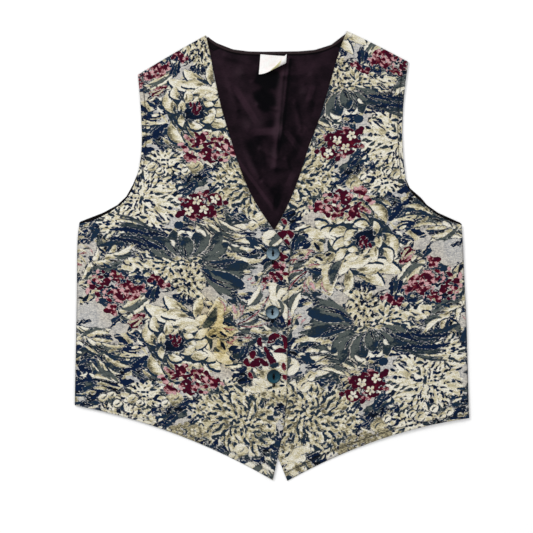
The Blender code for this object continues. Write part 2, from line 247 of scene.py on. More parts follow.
LEFT_FRONT = np.array([
    (0.1768, 0.2522, 0.0975, 0.2922, 1, 1),
    (0.173, 0.222, 0.0885, 0.27, 0, 0),
    (0.1697, 0.19, 0.08, 0.241, 0, 0),
    (0.169, 0.155, 0.0705, 0.208, 0, 0),
    (0.1718, 0.115, 0.06, 0.174, 0, 0),
    (0.177, 0.088, 0.0485, 0.144, 0, 0),
    (0.1955, 0.069, 0.038, 0.111, 0, 0),
    (0.2185, 0.051, 0.0285, 0.0845, 0, 0),
    (0.2462, 0.04, 0.0156, 0.056, 1, 0),
    (0.248, 0.015, 0.002, 0.0325, 0, 0),
    (0.2495, -0.025, -0.0169, 0.008, 0, 1),
    (0.2515, -0.062, -0.017, -0.04, 0, 0),
    (0.253, -0.1, -0.017, -0.105, 0, 0),
    (0.2536, -0.14, -0.016, -0.17, 0, 0),
    (0.2546, -0.17, -0.01, -0.215, 0, 0),
    (0.2554, -0.19, 0.004, -0.252, 0, 0),
    (0.2561, -0.2105, 0.02, -0.2922, 1, 1),
])
print("sections of a front:", len(RIGHT_FRONT))

# %% [markdown]
# A back section runs straight across from the left edge to the right edge. Its crest is the
# share that it follows of the rise of the shoulders and neck, and the last value marks a corner.

# %% Sections of the back
BACK = np.array([
    (-0.1742, 0.2353, 0.1768, 0.2522, 1.0, 1),
    (-0.1713, 0.203, 0.173, 0.222, 0.8, 0),
    (-0.1693, 0.164, 0.1692, 0.17, 0.45, 0),
    (-0.17, 0.125, 0.171, 0.12, 0.15, 0),
    (-0.1781, 0.0988, 0.176, 0.093, 0.0, 0),
    (-0.1911, 0.0754, 0.1937, 0.0754, 0.0, 0),
    (-0.2119, 0.0598, 0.2093, 0.0598, 0.0, 0),
    (-0.2503, 0.0442, 0.2462, 0.0425, 0.0, 1),
    (-0.253, 0.0, 0.2487, 0.0, 0.0, 0),
    (-0.2543, -0.1, 0.253, -0.1, 0.0, 0),
    (-0.2561, -0.1935, 0.2561, -0.21, 0.0, 1),
])
NECK_LEFT = 0.26
NECK_RIGHT = 0.775
NECK_BAND = 0.004
LINING_INSET = 0.012
print("sections of the back:", len(BACK))

# %% [markdown]
# ### Smooth lines between the rows
#
# A pattern cutter joins the marks at each row with a curved ruler. A curve through the points
# does the same here: it runs through every row and turns sharply only where a row says so.
# Straight lines would show corners along the armhole.


# %% Curves through the sections
def ease(value):
    """Smooth step from 0 to 1."""
    value = np.clip(value, 0.0, 1.0)
    return value * value * (3 - 2 * value)


def curve_through(points, corners, position):
    """Places along a smooth curve, where whole positions are the points themselves."""
    corners = np.asarray(corners) > 0
    last = len(points) - 1
    index = np.clip(np.floor(position).astype(int), 0, last - 1)
    part = (position - index)[..., None]
    start, end = points[index], points[index + 1]
    sharp_start = (corners[index] | (index == 0))[..., None]
    sharp_end = (corners[index + 1] | (index + 1 == last))[..., None]
    before = np.where(sharp_start, 2 * start - end, points[np.maximum(index - 1, 0)])
    after = np.where(sharp_end, 2 * end - start, points[np.minimum(index + 2, last)])
    return 0.5 * (
        2 * start
        + (end - before) * part
        + (2 * before - 5 * start + 4 * end - after) * part**2
        + (3 * start - before - 3 * end + after) * part**3
    )


print("a smooth step half way:", float(ease(0.5)))

# %% [markdown]
# ### Places on a front and on the back
#
# Every point of a cloth is found from two numbers: how far down its rows it is, and what share
# of the way across. The hem bows a little, and the back's top edge dips at the neck. With this,
# one grid of numbers can become any piece of the waistcoat.

# %% Places on a front and on the back
HEM_BOW = 0.0123
HEM_SECTIONS = 3
SHOULDER_BOW = 0.0008
SHOULDER_RISE = (0.045, 0.0425)
NECK_DEPTH = (0.02, 0.0245)
BACK_HEM_BOW = -0.008
HEM_POINTS = 33


def front_plane(sections, position, across):
    """Place in the plane of a front, and the width of the front there."""
    start = curve_through(sections[:, 0:2], sections[:, 4], position)
    end = curve_through(sections[:, 2:4], sections[:, 5], position)
    point = start + (end - start) * across[..., None]
    to_hem = (len(sections) - 1 - position) / HEM_SECTIONS
    bow = SHOULDER_BOW * ease(1 - position) + HEM_BOW * ease(1 - to_hem)
    point[..., 1] += 4 * bow * across * (1 - across)
    return point[..., 0], point[..., 1], np.linalg.norm(end - start, axis=-1)


def neck_profile(across):
    """Rise of the back's top edge over the line between its shoulder tips."""
    share = np.clip((across - NECK_LEFT) / (NECK_RIGHT - NECK_LEFT), 0, 1)
    chord = SHOULDER_RISE[0] + (SHOULDER_RISE[1] - SHOULDER_RISE[0]) * share
    depth = NECK_DEPTH[0] + (NECK_DEPTH[1] - NECK_DEPTH[0]) * share
    neck = chord - depth * (1 - np.abs(2 * share - 1) ** 4)
    left = SHOULDER_RISE[0] * across / NECK_LEFT
    right = SHOULDER_RISE[1] * (1 - across) / (1 - NECK_RIGHT)
    return np.where(across <= NECK_LEFT, left, np.where(across >= NECK_RIGHT, right, neck))


def back_plane(position, across):
    """Place in the plane of the back."""
    start = curve_through(BACK[:, 0:2], BACK[:, 5], position)
    end = curve_through(BACK[:, 2:4], BACK[:, 5], position)
    point = start + (end - start) * across[..., None]
    point[..., 1] += curve_through(BACK[:, 4:5], BACK[:, 5], position)[..., 0] * neck_profile(across)
    hem = ease(position - (len(BACK) - 2))
    point[..., 1] += 4 * BACK_HEM_BOW * hem * across * (1 - across)
    return point[..., 0], point[..., 1]


def inner_edge(sections):
    """Heights and places of a front's V and front edge, for reading one from the other."""
    steps = np.linspace(0, len(sections) - 1, 8 * len(sections))
    x, y, _ = front_plane(sections, steps, np.ones_like(steps))
    return y[::-1], x[::-1]


RIGHT_EDGE = inner_edge(RIGHT_FRONT)
LEFT_EDGE = inner_edge(LEFT_FRONT)
BACK_HEM = back_plane(np.full(HEM_POINTS, len(BACK) - 1.0), np.linspace(0, 1, HEM_POINTS))
print("V neck ends at height", round(float(RIGHT_FRONT[10, 3]), 4))

# %% [markdown]
# ## The printed flowers
#
# A tapestry cloth shows its flowers in coloured yarns. Here every petal, leaf and spot is one
# blade shape, laid on a sheet of numbers as paint is laid on paper. Each yarn colour has
# its own sheet, which holds the distance to the edge of that colour: above zero inside it,
# below zero outside. Distances keep edges sharp when the cloth's points read them, and the
# weave can fray them later. One repeat of the cloth is drawn, and it joins up with itself.

# %% Sheets for one repeat of the cloth
UNIT = 0.0013
REPEAT_STEP = (-20.0, 231.5)
REPEAT = math.hypot(*REPEAT_STEP)
DOWN = np.array(REPEAT_STEP) / REPEAT
SIDEWAYS = np.array((DOWN[1], -DOWN[0]))
TILT = math.atan2(-DOWN[0], DOWN[1])
SHEET_LEFT = 55.0
SHEET_WIDTH = 290
CELLS = 2
COLUMNS = SHEET_WIDTH * CELLS
ROWS = int(round(REPEAT * CELLS))
FINE = ROWS / REPEAT
OUTSIDE = -9.0

YARNS = ("petal", "leaf", "navy", "berry")
inside_of = {yarn: np.full((ROWS, COLUMNS), OUTSIDE) for yarn in YARNS}
tone_of = np.zeros((ROWS, COLUMNS))


def smooth_noise(seed, high, wide):
    """Random values that change over the given steps and join up at the repeat."""
    draw = np.random.default_rng(seed)
    down, over = int(REPEAT / high), int(SHEET_WIDTH / wide) + 2
    grid = draw.uniform(-1, 1, (down, over))
    row, column = np.arange(ROWS) / ROWS * down, np.arange(COLUMNS) / CELLS / wide
    up, left = row.astype(int), column.astype(int)
    row_share, column_share = ease(row - up)[:, None], ease(column - left)
    below = (up + 1) % down
    first = grid[up][:, left] * (1 - column_share) + grid[up][:, left + 1] * column_share
    second = grid[below][:, left] * (1 - column_share) + grid[below][:, left + 1] * column_share
    return first * (1 - row_share) + second * row_share


# One noise roughens the outlines, the other runs along the yarn and streaks the tones
ragged = 0.6 * smooth_noise(1, 2.0, 2.4) + 0.6 * smooth_noise(2, 4.2, 5.0)
streaks = 0.6 * smooth_noise(3, 1.4, 4.0) + 0.5 * smooth_noise(4, 3.0, 7.0)
print("one repeat is", round(REPEAT * UNIT, 3), "m long")

# %% [markdown]
# ### One blade for every petal, leaf and spot
#
# A designer of such cloth paints each motif with one loaded brush. A blade here is such a
# stroke: it starts at a point, runs along a turn, swells and ends. Its bend, teeth and rim make
# it a petal, a toothed leaf or a berry, so one short function draws the whole garden.

# %% Lay one blade on the sheets
STREAK_STRENGTH = 0.32
TOOTH_LENGTH = 2.6


def lay(window, inside, yarn, tone, roughness=0.5):
    """Paints one yarn where inside is above zero, and keeps the other yarns out of it.

    The yarn called ground has no sheet, so it only clears the others away.
    """
    inside = inside + roughness * ragged[window]
    for name, sheet in inside_of.items():
        old = sheet[window]
        sheet[window] = np.maximum(old, inside) if name == yarn else np.minimum(old, -inside)
    streaked = tone + STREAK_STRENGTH * streaks[window]
    tone_of[window] = np.where(inside > 0, streaked, tone_of[window])


def blade(x, y, turn, length, width, yarn, tone=0.0, tip=None, side=0.0, bend=0.0,
          fullness=0.6, broad=1.0, teeth=0.0, rim=None):
    """A petal, leaf or spot from x, y along turn, in degrees clockwise from the right.

    tone runs from the base to the tip, and side adds to it across the blade. broad under 1
    puts the widest place near the base, and rim is a yarn, its tone and its width.
    """
    turn = math.radians(turn) - TILT
    cosine, sine = math.cos(turn), math.sin(turn)
    base = np.array((x, y)) @ np.array((SIDEWAYS, DOWN)).T
    middle = base + np.array((cosine, sine)) * length / 2
    reach = length / 2 + width / 2 + abs(bend) * length + 3
    first = max(int((middle[0] - reach - SHEET_LEFT) * CELLS), 0)
    last = min(int((middle[0] + reach - SHEET_LEFT) * CELLS), COLUMNS)
    if last <= first:
        return
    columns = np.arange(first, last)
    rows = np.arange(int((middle[1] - reach) * FINE), int((middle[1] + reach) * FINE))
    off_s = columns / CELLS + SHEET_LEFT - base[0]
    off_t = rows[:, None] / FINE - base[1]
    along = off_s * cosine + off_t * sine
    aside = off_t * cosine - off_s * sine
    share = np.clip(along / length, 0, 1)
    aside = aside - 4 * bend * length * share * (1 - share)
    half = width / 2 * np.sin(math.pi * share**broad) ** fullness
    if teeth:
        half = half * (1 - teeth * np.abs((along / TOOTH_LENGTH) % 2 - 1))
    inside = half - np.abs(aside) - np.maximum(0, np.maximum(-along, along - length))
    window = np.ix_(rows % ROWS, columns)
    roughness = min(0.9, 0.13 * width)
    if rim:
        lay(window, inside + rim[2], rim[0], rim[1], roughness)
    tip = tone if tip is None else tip
    lay(window, inside, yarn, tone + (tip - tone) * share + side * aside / (width / 2), roughness)


def heading(turn):
    """Cosine and sine of an angle in degrees."""
    return math.cos(math.radians(turn)), math.sin(math.radians(turn))


def spot(x, y, wide, high, yarn, tone=0.0, turn=0.0, **more):
    """A rounded spot with its middle at x, y."""
    cosine, sine = heading(turn)
    blade(x - cosine * wide / 2, y - sine * wide / 2, turn, wide, high,
          yarn, tone, **{"fullness": 0.5, **more})


print("brush ready for", len(YARNS), "yarns")

# %% [markdown]
# ### Chrysanthemums
#
# A chrysanthemum is hundreds of thin petals. They could be set one by one, but they follow a
# rule: rings round a heart, drawn from the outside in, so each ring lies over the last. Short
# dark gaps between the petals let them read as petals and not as one pale disc.


# %% Chrysanthemums
def mum(x, y, wide, high, seed, petal=(11, 3.0), tone=(0.6, 0.0), heart=(0, 0), rings=7,
        bend=0.0, gap=("navy", 0.4), gaps=0.6, bed=("petal", 0.45), start=0.0, end=360.0):
    """A round flower of many thin petals with short dark gaps, on a bed of one yarn."""
    draw = np.random.default_rng(seed)
    if end - start == 360:
        spot(x + heart[0] / 2, y + heart[1] / 2, 1.7 * wide, 1.7 * high, *bed, teeth=0.2)
    for ring in np.linspace(1.0, 0.1, rings):
        around = (end - start) / 360 * 2 * math.pi * ring * (wide + high) / 2
        count = max(4, int(0.8 * around / petal[1]))
        for step in range(count):
            cosine, sine = heading(start + (end - start) * (step + draw.uniform(0, 0.9)) / count)
            reach = ring * draw.uniform(0.86, 1.1)
            tip_x = x + heart[0] * (1 - ring) + wide * reach * cosine
            tip_y = y + heart[1] * (1 - ring) + high * reach * sine
            turn = math.degrees(math.atan2(high * sine, wide * cosine)) + draw.uniform(-20, 20)
            length = petal[0] * draw.uniform(0.7, 1.3) * (0.6 + 0.4 * ring)
            cosine, sine = heading(turn)
            root_x, root_y = tip_x - length * cosine, tip_y - length * sine
            width = petal[1] * draw.uniform(0.7, 1.4)
            arch = bend + draw.uniform(-0.14, 0.14)
            blade(root_x, root_y, turn, length, width, "petal",
                  tone[0] * draw.uniform(0.6, 1.4), tone[1] + draw.uniform(0, 0.3),
                  side=draw.uniform(0.0, 0.35), bend=arch, broad=1.3, fullness=0.7)
            for _ in range(int(gaps + draw.uniform())):
                aside = draw.choice((-0.6, 0.6)) * width
                dark = gap if draw.uniform() < 0.6 else ("leaf", draw.uniform(0.2, 0.7))
                blade(root_x - aside * sine + 0.2 * length * cosine,
                      root_y + aside * cosine + 0.2 * length * sine, turn + draw.uniform(-12, 12),
                      length * draw.uniform(0.4, 0.9), draw.uniform(1.5, 3.1), *dark,
                      bend=arch, broad=1.2, fullness=0.8)


print("a chrysanthemum has rings of petals over its bed")

# %% [markdown]
# ### Berries and florets
#
# Between the large flowers lie wine-red clusters. Ragged red blots with pink ones among
# them read as berries from a step away, and small pale florets with a dark eye lie on some.

# %% Florets and berry clusters
FLORET_PETAL = 5.0


def floret(x, y, size, draw):
    """A small pale flower with a dark eye, on a wine-red ground."""
    spot(x, y, 2.9 * size, 2.6 * size, "berry", 0.15, turn=draw.uniform(0, 90), teeth=0.2)
    for step in range(5):
        angle = 72 * step + draw.uniform(-15, 15)
        blade(x, y, angle, size, size * 0.56, "petal", 0.45, 0.25, broad=1.6)
    spot(x, y, 2.0, 1.8, "navy", 0.4)


def cluster(x, y, wide, high, seed, blots=16, pinks=12, florets=(), pink=0.85, turn=0.0):
    """Ragged berries with pink petals between them and florets on top."""
    draw = np.random.default_rng(seed)
    lean_cos, lean_sin = heading(turn)

    def somewhere(spread):
        reach, angle = spread * math.sqrt(draw.uniform()), draw.uniform(0, 2 * math.pi)
        off_x, off_y = wide * reach * math.cos(angle), high * reach * math.sin(angle)
        return x + off_x * lean_cos - off_y * lean_sin, y + off_x * lean_sin + off_y * lean_cos

    for _ in range(int(1.4 * pinks)):
        spot(*somewhere(1.1), draw.uniform(3.5, 8), draw.uniform(2.5, 5), "berry",
             pink * draw.uniform(0.85, 1.15), turn=draw.uniform(0, 180), teeth=0.3)
    for _ in range(blots // 3):
        spot(*somewhere(0.9), draw.uniform(3, 5), draw.uniform(2, 4), "navy", 0.3,
             turn=draw.uniform(0, 180))
    for _ in range(int(1.3 * blots)):
        spot(*somewhere(0.95), draw.uniform(4.5, 8.5), draw.uniform(3, 5.5), "berry",
             draw.uniform(0, 0.3), turn=draw.uniform(-30, 60), teeth=0.15)
    for _ in range(int(1.5 * pinks)):
        spot(*somewhere(0.95), draw.uniform(2.5, 5), draw.uniform(1.4, 2.4), "berry",
             pink * draw.uniform(0.75, 1.1), turn=draw.uniform(0, 180))
    for off_x, off_y in florets:
        floret(x + off_x, y + off_y, FLORET_PETAL, draw)


print("a floret has 5 petals of", round(FLORET_PETAL * UNIT / MM, 1), "mm")

# %% [markdown]
# ### Leaves
#
# A woven leaf is a dark shape with lighter strokes along its veins. The strokes are blades
# too, and they follow the bend of the leaf. One fixed seed is shared by all leaves, so the
# cloth comes out the same each time.

# %% Leaves
brush = np.random.default_rng(5)


def leaf(x, y, turn, length, width, yarn="navy", tone=0.2, bend=0.0, strokes=4,
         light=("leaf", 0.1), teeth=0.25, rim=None, side=0.0, broad=0.8):
    """A leaf with long brush strokes that follow its bend."""
    blade(x, y, turn, length, width, yarn, tone, bend=bend, teeth=teeth, broad=broad,
          fullness=0.75, rim=rim, side=side)
    cosine, sine = heading(turn)
    for _ in range(strokes):
        share, aside = brush.uniform(0.02, 0.45), brush.uniform(-0.34, 0.34) * width
        arch = 4 * bend * length * share * (1 - share) + aside * math.sin(math.pi * (share + 0.2))
        root_x = x + length * share * cosine - arch * sine
        root_y = y + length * share * sine + arch * cosine
        slope = math.degrees(4 * bend * (1 - 2 * share)) - 60 * aside / length
        long = length * brush.uniform(0.35, 0.95 - share)
        blade(root_x, root_y, turn + slope + brush.uniform(-7, 7), long,
              brush.uniform(1.3, 0.17 * width + 1.2), light[0], light[1] + brush.uniform(-0.1, 0.2),
              bend=bend, fullness=0.5)


print("a leaf has 4 strokes unless it asks for more")

# %% [markdown]
# ### Where each motif goes
#
# Places are counted down and across the cloth in steps of 1.3 mm. First comes a bed of leaves
# that leaves some bare ground, then the large flowers, and last the small bright ones.

# %% Bed of leaves and bare ground
REPEAT_TOP = 150
REPEAT_END = 381
# Middle and size of each bare place
GROUND = [
    (86, 250, 9), (82, 263, 8), (92, 311, 13), (88, 329, 9), (104, 322, 8),
    (138, 354, 10), (158, 300, 8), (214, 293, 11), (225, 300, 7), (246, 283, 10), (257, 270, 7),
    (238, 271, 6), (156, 391, 10), (220, 372, 10), (226, 386, 11), (216, 397, 8), (177, 218, 6),
    (244, 227, 8), (257, 234, 6), (292, 344, 12), (293, 309, 10), (208, 156, 8), (118, 240, 5),
    (76, 290, 9), (172, 303, 6), (247, 374, 8), (200, 190, 5), (140, 345, 7), (292, 190, 9),
    (300, 250, 11), (310, 390, 9), (122, 328, 7), (70, 300, 10), (262, 293, 7), (110, 262, 6),
]
# Leaf colours in the bed: chance up to, yarn, tone, and the yarn and tone of its strokes
BED = [
    (0.3, "navy", 0.15, "leaf", 0.0), (0.45, "navy", 0.3, "petal", 0.55),
    (0.66, "leaf", 0.05, "navy", 0.3), (0.82, "leaf", 0.45, "navy", 0.3),
    (0.92, "leaf", 0.6, "petal", 0.55), (1.01, "petal", 0.35, "leaf", 0.4),
]


def slanted(x, y):
    """x moved over by the slant of the repeat."""
    return x + REPEAT_STEP[0] * (y - REPEAT_TOP) / REPEAT_STEP[1]


def bed_of_leaves(seed):
    """Leaves set at loose steps over the repeat, except on the bare ground."""
    draw = np.random.default_rng(seed)
    made = 0
    for row in np.arange(REPEAT_TOP, REPEAT_END, 10.0):
        for column in np.arange(62, 350, 12.0):
            x = slanted(column + draw.uniform(-6, 6), row)
            y = row + draw.uniform(-6, 6)
            turn = draw.uniform(-55, 55) + (180 if draw.uniform() < 0.5 else 0)
            length, width = draw.uniform(20, 38), draw.uniform(7, 12)
            pick = draw.uniform()
            cosine, sine = heading(turn)
            mid_x, mid_y = x + length / 2 * cosine, y + length / 2 * sine
            if any(math.hypot(mid_x - gx, mid_y - gy) < size for gx, gy, size in GROUND):
                continue
            _, yarn, tone, *light = next(row for row in BED if pick < row[0])
            rim = ("navy", 0.9, 0.9) if yarn != "navy" or pick < 0.2 else ("petal", 0.5, 0.8)
            leaf(x, y, turn, length, width, yarn, tone, draw.uniform(-0.16, 0.16), 4,
                 tuple(light), 0.3, rim, side=0.25)
            made += 1
    return made


print("leaves in the bed:", bed_of_leaves(11))
for x, y, size in GROUND:
    spot(x, y, 2.1 * size, 1.5 * size, "ground", turn=brush.uniform(-40, 40), teeth=0.25)
print("bare places:", len(GROUND))

# %% [markdown]
# ### Leaves that are placed one by one
#
# Some leaves of the real cloth are large enough to be known again, such as the navy ones beside
# each flower. A random bed can't give them, so each has a row of numbers with its place, turn
# and size, judged one by one.

# %% Leaves that are placed one by one
# x, y, turn, length, width, yarn, tone, bend, strokes, yarn and tone of the strokes
LEAVES = [
    (172, 238, 182, 60, 14, "navy", 0.25, 0.06, 5, "leaf", 0.35),
    (160, 244, 195, 62, 17, "navy", 0.25, 0.1, 7, "leaf", 0.45),
    (150, 250, 160, 40, 12, "navy", 0.15, -0.1, 4, "leaf", 0.5),
    (205, 248, 10, 46, 17, "navy", 0.25, -0.12, 6, "leaf", 0.3),
    (212, 250, -8, 50, 12, "leaf", 0.05, -0.1, 4, "navy", 0.3),
    (212, 256, 25, 34, 13, "leaf", 0.45, 0.05, 4, "navy", 0.3),
    (205, 268, -4, 44, 24, "leaf", 0.35, -0.08, 6, "navy", 0.3),
    (205, 264, 30, 48, 19, "leaf", 0.15, 0.12, 6, "leaf", 0.6),
    (203, 258, 42, 40, 12, "leaf", 0.45, 0.14, 4, "navy", 0.4),
    (168, 130, -35, 38, 16, "navy", 0.2, 0.08, 5, "leaf", 0.2),
    (150, 135, 200, 32, 13, "navy", 0.25, 0.08, 4, "leaf", 0.2),
    (176, 192, -20, 26, 15, "leaf", 0.1, 0.0, 4, "navy", 0.3),
    (158, 172, 160, 30, 13, "navy", 0.2, 0.1, 4, "leaf", 0.3),
    (78, 366, -5, 52, 26, "navy", 0.25, 0.06, 12, "leaf", 0.0),
    (76, 372, 8, 60, 18, "navy", 0.1, 0.1, 8, "petal", 0.5),
    (112, 376, -28, 42, 18, "navy", 0.15, -0.08, 7, "leaf", 0.0),
    (130, 366, 25, 26, 14, "navy", 0.25, 0.05, 4, "leaf", 0.1),
    (76, 384, 15, 46, 16, "navy", 0.3, -0.1, 6, "petal", 0.4),
    (98, 348, 0, 46, 13, "navy", 0.2, 0.1, 6, "leaf", 0.1),
    (112, 350, -14, 40, 10, "navy", 0.2, 0.12, 4, "petal", 0.5),
    (84, 344, 20, 30, 12, "leaf", 0.35, 0.05, 4, "petal", 0.4),
    (228, 350, -10, 34, 16, "navy", 0.25, 0.08, 5, "leaf", 0.3),
    (232, 382, -40, 28, 16, "navy", 0.35, 0.0, 5, "leaf", 0.3),
    (214, 390, 30, 30, 12, "navy", 0.2, 0.05, 4, "leaf", 0.2),
    (150, 303, -75, 24, 17, "navy", 0.3, 0.0, 4, "leaf", 0.3),
    (172, 296, 10, 32, 10, "navy", 0.3, 0.0, 2, "leaf", 0.3),
    (176, 300, 40, 26, 9, "leaf", 0.45, 0.1, 3, "navy", 0.3),
    (240, 205, 30, 34, 15, "navy", 0.3, 0.08, 5, "leaf", 0.3),
    (262, 300, 40, 40, 16, "navy", 0.2, 0.08, 5, "leaf", 0.2),
    (276, 340, 10, 44, 18, "leaf", 0.2, -0.08, 6, "petal", 0.5),
    (270, 205, 5, 44, 18, "navy", 0.2, 0.1, 6, "leaf", 0.2),
    (280, 170, 60, 40, 17, "leaf", 0.3, 0.1, 6, "petal", 0.5),
    (292, 270, -40, 42, 18, "navy", 0.25, 0.08, 6, "leaf", 0.2),
    (86, 205, 140, 26, 13, "navy", 0.25, 0.08, 4, "leaf", 0.2),
    (120, 150, 170, 30, 14, "navy", 0.2, 0.0, 4, "leaf", 0.2),
    (226, 300, 10, 26, 11, "leaf", 0.4, 0.1, 4, "navy", 0.3),
]
for x, y, turn, length, width, yarn, tone, bend, strokes, *light in LEAVES:
    leaf(x, y, turn, length, width, yarn, tone, bend, strokes, tuple(light))
print("leaves placed by hand:", len(LEAVES))

# %% [markdown]
# ### Pale leaves
#
# Curled cream leaves with grey-green shading stand out from the dark bed. Each is laid over a
# navy blade that is a little wider, which leaves a dark outline on its lower side.

# %% Pale leaves
# x, y, turn, length, width, bend
PALE_LEAVES = [
    (205, 240, -28, 34, 13, -0.1), (207, 238, -14, 44, 14, -0.12), (210, 242, 2, 40, 11, -0.14),
    (206, 224, 16, 42, 9, 0.1), (214, 218, 24, 30, 7, 0.1), (224, 244, 10, 30, 8, 0.1),
    (124, 316, -62, 32, 12, 0.1), (120, 312, -48, 36, 10, 0.12), (127, 318, -40, 30, 9, 0.14),
    (86, 266, -42, 42, 8, 0.22), (82, 272, -58, 30, 7, 0.2), (92, 262, -28, 38, 6, 0.2),
    (104, 256, -24, 34, 7, 0.16), (80, 284, -66, 24, 6, 0.1),
    (234, 332, -22, 30, 7, 0.06), (250, 330, 12, 34, 9, -0.1), (240, 324, -34, 24, 6, 0.1),
    (246, 308, -58, 26, 9, 0.1), (250, 310, -34, 28, 8, 0.12),
    (266, 312, -72, 30, 12, 0.14), (272, 312, -48, 32, 10, 0.1), (258, 314, -12, 28, 8, 0.1),
    (74, 326, 4, 38, 7, 0.1), (72, 332, 12, 42, 7, 0.08), (76, 340, -12, 34, 6, -0.1),
    (84, 336, 22, 32, 6, 0.12), (96, 342, 6, 30, 5, 0.1),
    (98, 358, 34, 28, 5, 0.14), (102, 352, 24, 34, 5, 0.14), (92, 362, 48, 22, 4, 0.1),
    (250, 362, 66, 24, 10, 0.1), (256, 372, 40, 26, 9, 0.1), (262, 384, 16, 28, 9, 0.1),
    (222, 258, 24, 34, 8, 0.1), (226, 252, 12, 38, 7, 0.12),
    (285, 225, 20, 38, 10, 0.1), (282, 232, 34, 34, 9, 0.1),
    (272, 148, 30, 36, 9, 0.12), (268, 156, 48, 30, 9, 0.12), (290, 300, 70, 34, 10, 0.12),
    (166, 142, -20, 30, 7, 0.14), (140, 150, 190, 28, 7, 0.1), (210, 150, 20, 24, 7, 0.1),
]
for x, y, turn, length, width, bend in PALE_LEAVES:
    blade(x - 0.6, y + 1.6, turn, length, width + 1, "navy", 0.9, bend=bend, broad=0.8)
    leaf(x, y, turn, length, width, "petal", brush.uniform(0.2, 0.6), bend, 6,
         ("leaf", brush.uniform(0.5, 0.9)), 0.15, ("leaf", 0.4, 0.9), 0.35)
print("pale leaves:", len(PALE_LEAVES))

# %% [markdown]
# ### Flecks
#
# On a loom the yarn colours are never quite clean, so strokes of the next colour show through
# the dark leaves. Short random strokes give this, but only where a leaf is already drawn, which
# keeps the bare ground calm.

# %% Flecks of light and dark yarn over the leaves
FLECK_YARNS = (("petal", 0.25), ("petal", 0.7), ("leaf", 0.0), ("leaf", 0.8), ("navy", 0.95))
WELL_INSIDE = 0.8


def flecks(seed, number):
    """Short strokes, only where a leaf is already drawn."""
    draw = np.random.default_rng(seed)
    made = 0
    while made < number:
        x, y = draw.uniform(62, 335), draw.uniform(REPEAT_TOP, REPEAT_END)
        place = np.array((slanted(x, y), y))
        column = int((place @ SIDEWAYS - SHEET_LEFT) * CELLS)
        row = int((place @ DOWN) * FINE) % ROWS
        if not 0 <= column < COLUMNS:
            continue
        if max(inside_of["navy"][row, column], inside_of["leaf"][row, column]) < WELL_INSIDE:
            continue
        yarn, tone = FLECK_YARNS[draw.integers(len(FLECK_YARNS))]
        blade(*place, draw.uniform(-50, 50) + 180 * draw.integers(2), draw.uniform(5, 12),
              draw.uniform(1.8, 3.2), yarn, tone, bend=draw.uniform(-0.2, 0.2))
        made += 1
    return made


print("flecks:", flecks(13, 620))

# %% [markdown]
# ### The large chrysanthemums
#
# The cloth has a dozen of them in each repeat, some cream with navy gaps and some khaki with
# grey-green gaps. Each call gives the middle, the half width and half height, and a seed of its
# own, so one flower can be changed without moving the petals of the next.

# %% Large flowers
mum(143, 200, 38, 32, 21, petal=(13, 3.2), tone=(0.5, 0.0), heart=(-8, -4), rings=8, gaps=1.0)
mum(122, 221, 26, 15, 22, petal=(13, 3.2), tone=(0.5, 0.0), rings=4, gaps=1.2)
mum(165, 163, 22, 13, 23, petal=(10, 3.2), tone=(0.5, 0.0), rings=4, gaps=1.2)
khaki = {"petal": (9, 3.4), "tone": (1.0, 0.05), "gap": ("leaf", 0.3), "bed": ("petal", 0.9)}
mum(236, 182, 24, 26, 24, rings=6, bend=0.18, gaps=1.6, **khaki)
mum(250, 163, 16, 18, 25, rings=4, bend=-0.18, gaps=1.6, **khaki)
mum(264, 190, 36, 35, 31, petal=(13, 4.2), tone=(1.1, 0.1), heart=(-4, 2), rings=7, bend=0.22,
    gap=("leaf", 0.4), gaps=2.0, bed=("petal", 1.0))
mum(168, 264, 34, 18, 26, petal=(12, 3.6), tone=(0.8, 0.1), heart=(10, -6), rings=6, gaps=1.6,
    gap=("leaf", 0.2), bed=("leaf", 0.4))
mum(190, 281, 17, 18, 27, petal=(8, 4.2), tone=(0.9, 0.15), rings=5, bend=0.25, gaps=2.2,
    gap=("navy", 0.6), bed=("leaf", 0.4))
mum(146, 266, 24, 12, 28, petal=(13, 4.0), tone=(0.5, 0.0), rings=3, start=120, end=250, gaps=1.3)
mum(300, 150, 24, 24, 30, petal=(9, 3.4), tone=(1.0, 0.35), rings=6, bend=0.15,
    gap=("leaf", 0.3), gaps=0.8, bed=("petal", 0.8))
mum(288, 378, 24, 20, 32, petal=(10, 3.6), tone=(0.7, 0.1), rings=5, gaps=0.8)
print("chrysanthemums drawn")

# %% [markdown]
# ### The calyx
#
# Above one small chrysanthemum stands a fan of broad grey-green sepals with pale outlines. It
# is the darkest large shape of the cloth, so its blades are listed one by one: sepals first, then
# small cream petals at its tip and three long leaves at its foot.

# %% The grey-green calyx over the small chrysanthemum
# x, y, turn, length, width, bend, tone
CALYX = [
    (176, 256, -150, 30, 9, -0.12, 0.3), (196, 256, -22, 36, 14, 0.1, 0.45),
    (203, 262, 2, 46, 18, 0.12, 0.4), (200, 268, 20, 48, 19, 0.1, 0.3),
    (198, 256, -46, 34, 14, 0.12, 0.6), (176, 258, -128, 26, 11, -0.15, 0.35),
    (183, 258, -108, 30, 16, -0.12, 0.55), (190, 258, -68, 34, 18, 0.1, 0.6),
    (186, 260, -88, 24, 13, 0.04, 0.5),
]
for x, y, turn, length, width, bend, tone in CALYX:
    leaf(x, y, turn, length, width, "leaf", tone, bend, 7, ("leaf", 0.95), 0.0,
         ("petal", 0.4, 0.55), 0.3, 1.25)
    for _ in range(2):
        blade(x, y, turn + brush.uniform(-14, 14), length * brush.uniform(0.4, 0.9),
              brush.uniform(1.2, 2.0), "navy", brush.uniform(0.1, 0.7), bend=bend, broad=1.3)
for x, y, turn, length in (
        (178, 236, -30, 9), (186, 232, 40, 7), (195, 231, 25, 12), (170, 240, 60, 8)):
    blade(x, y, turn, length, 3.6, "petal", 0.1, bend=-0.2, rim=("navy", 0.3, 0.6))
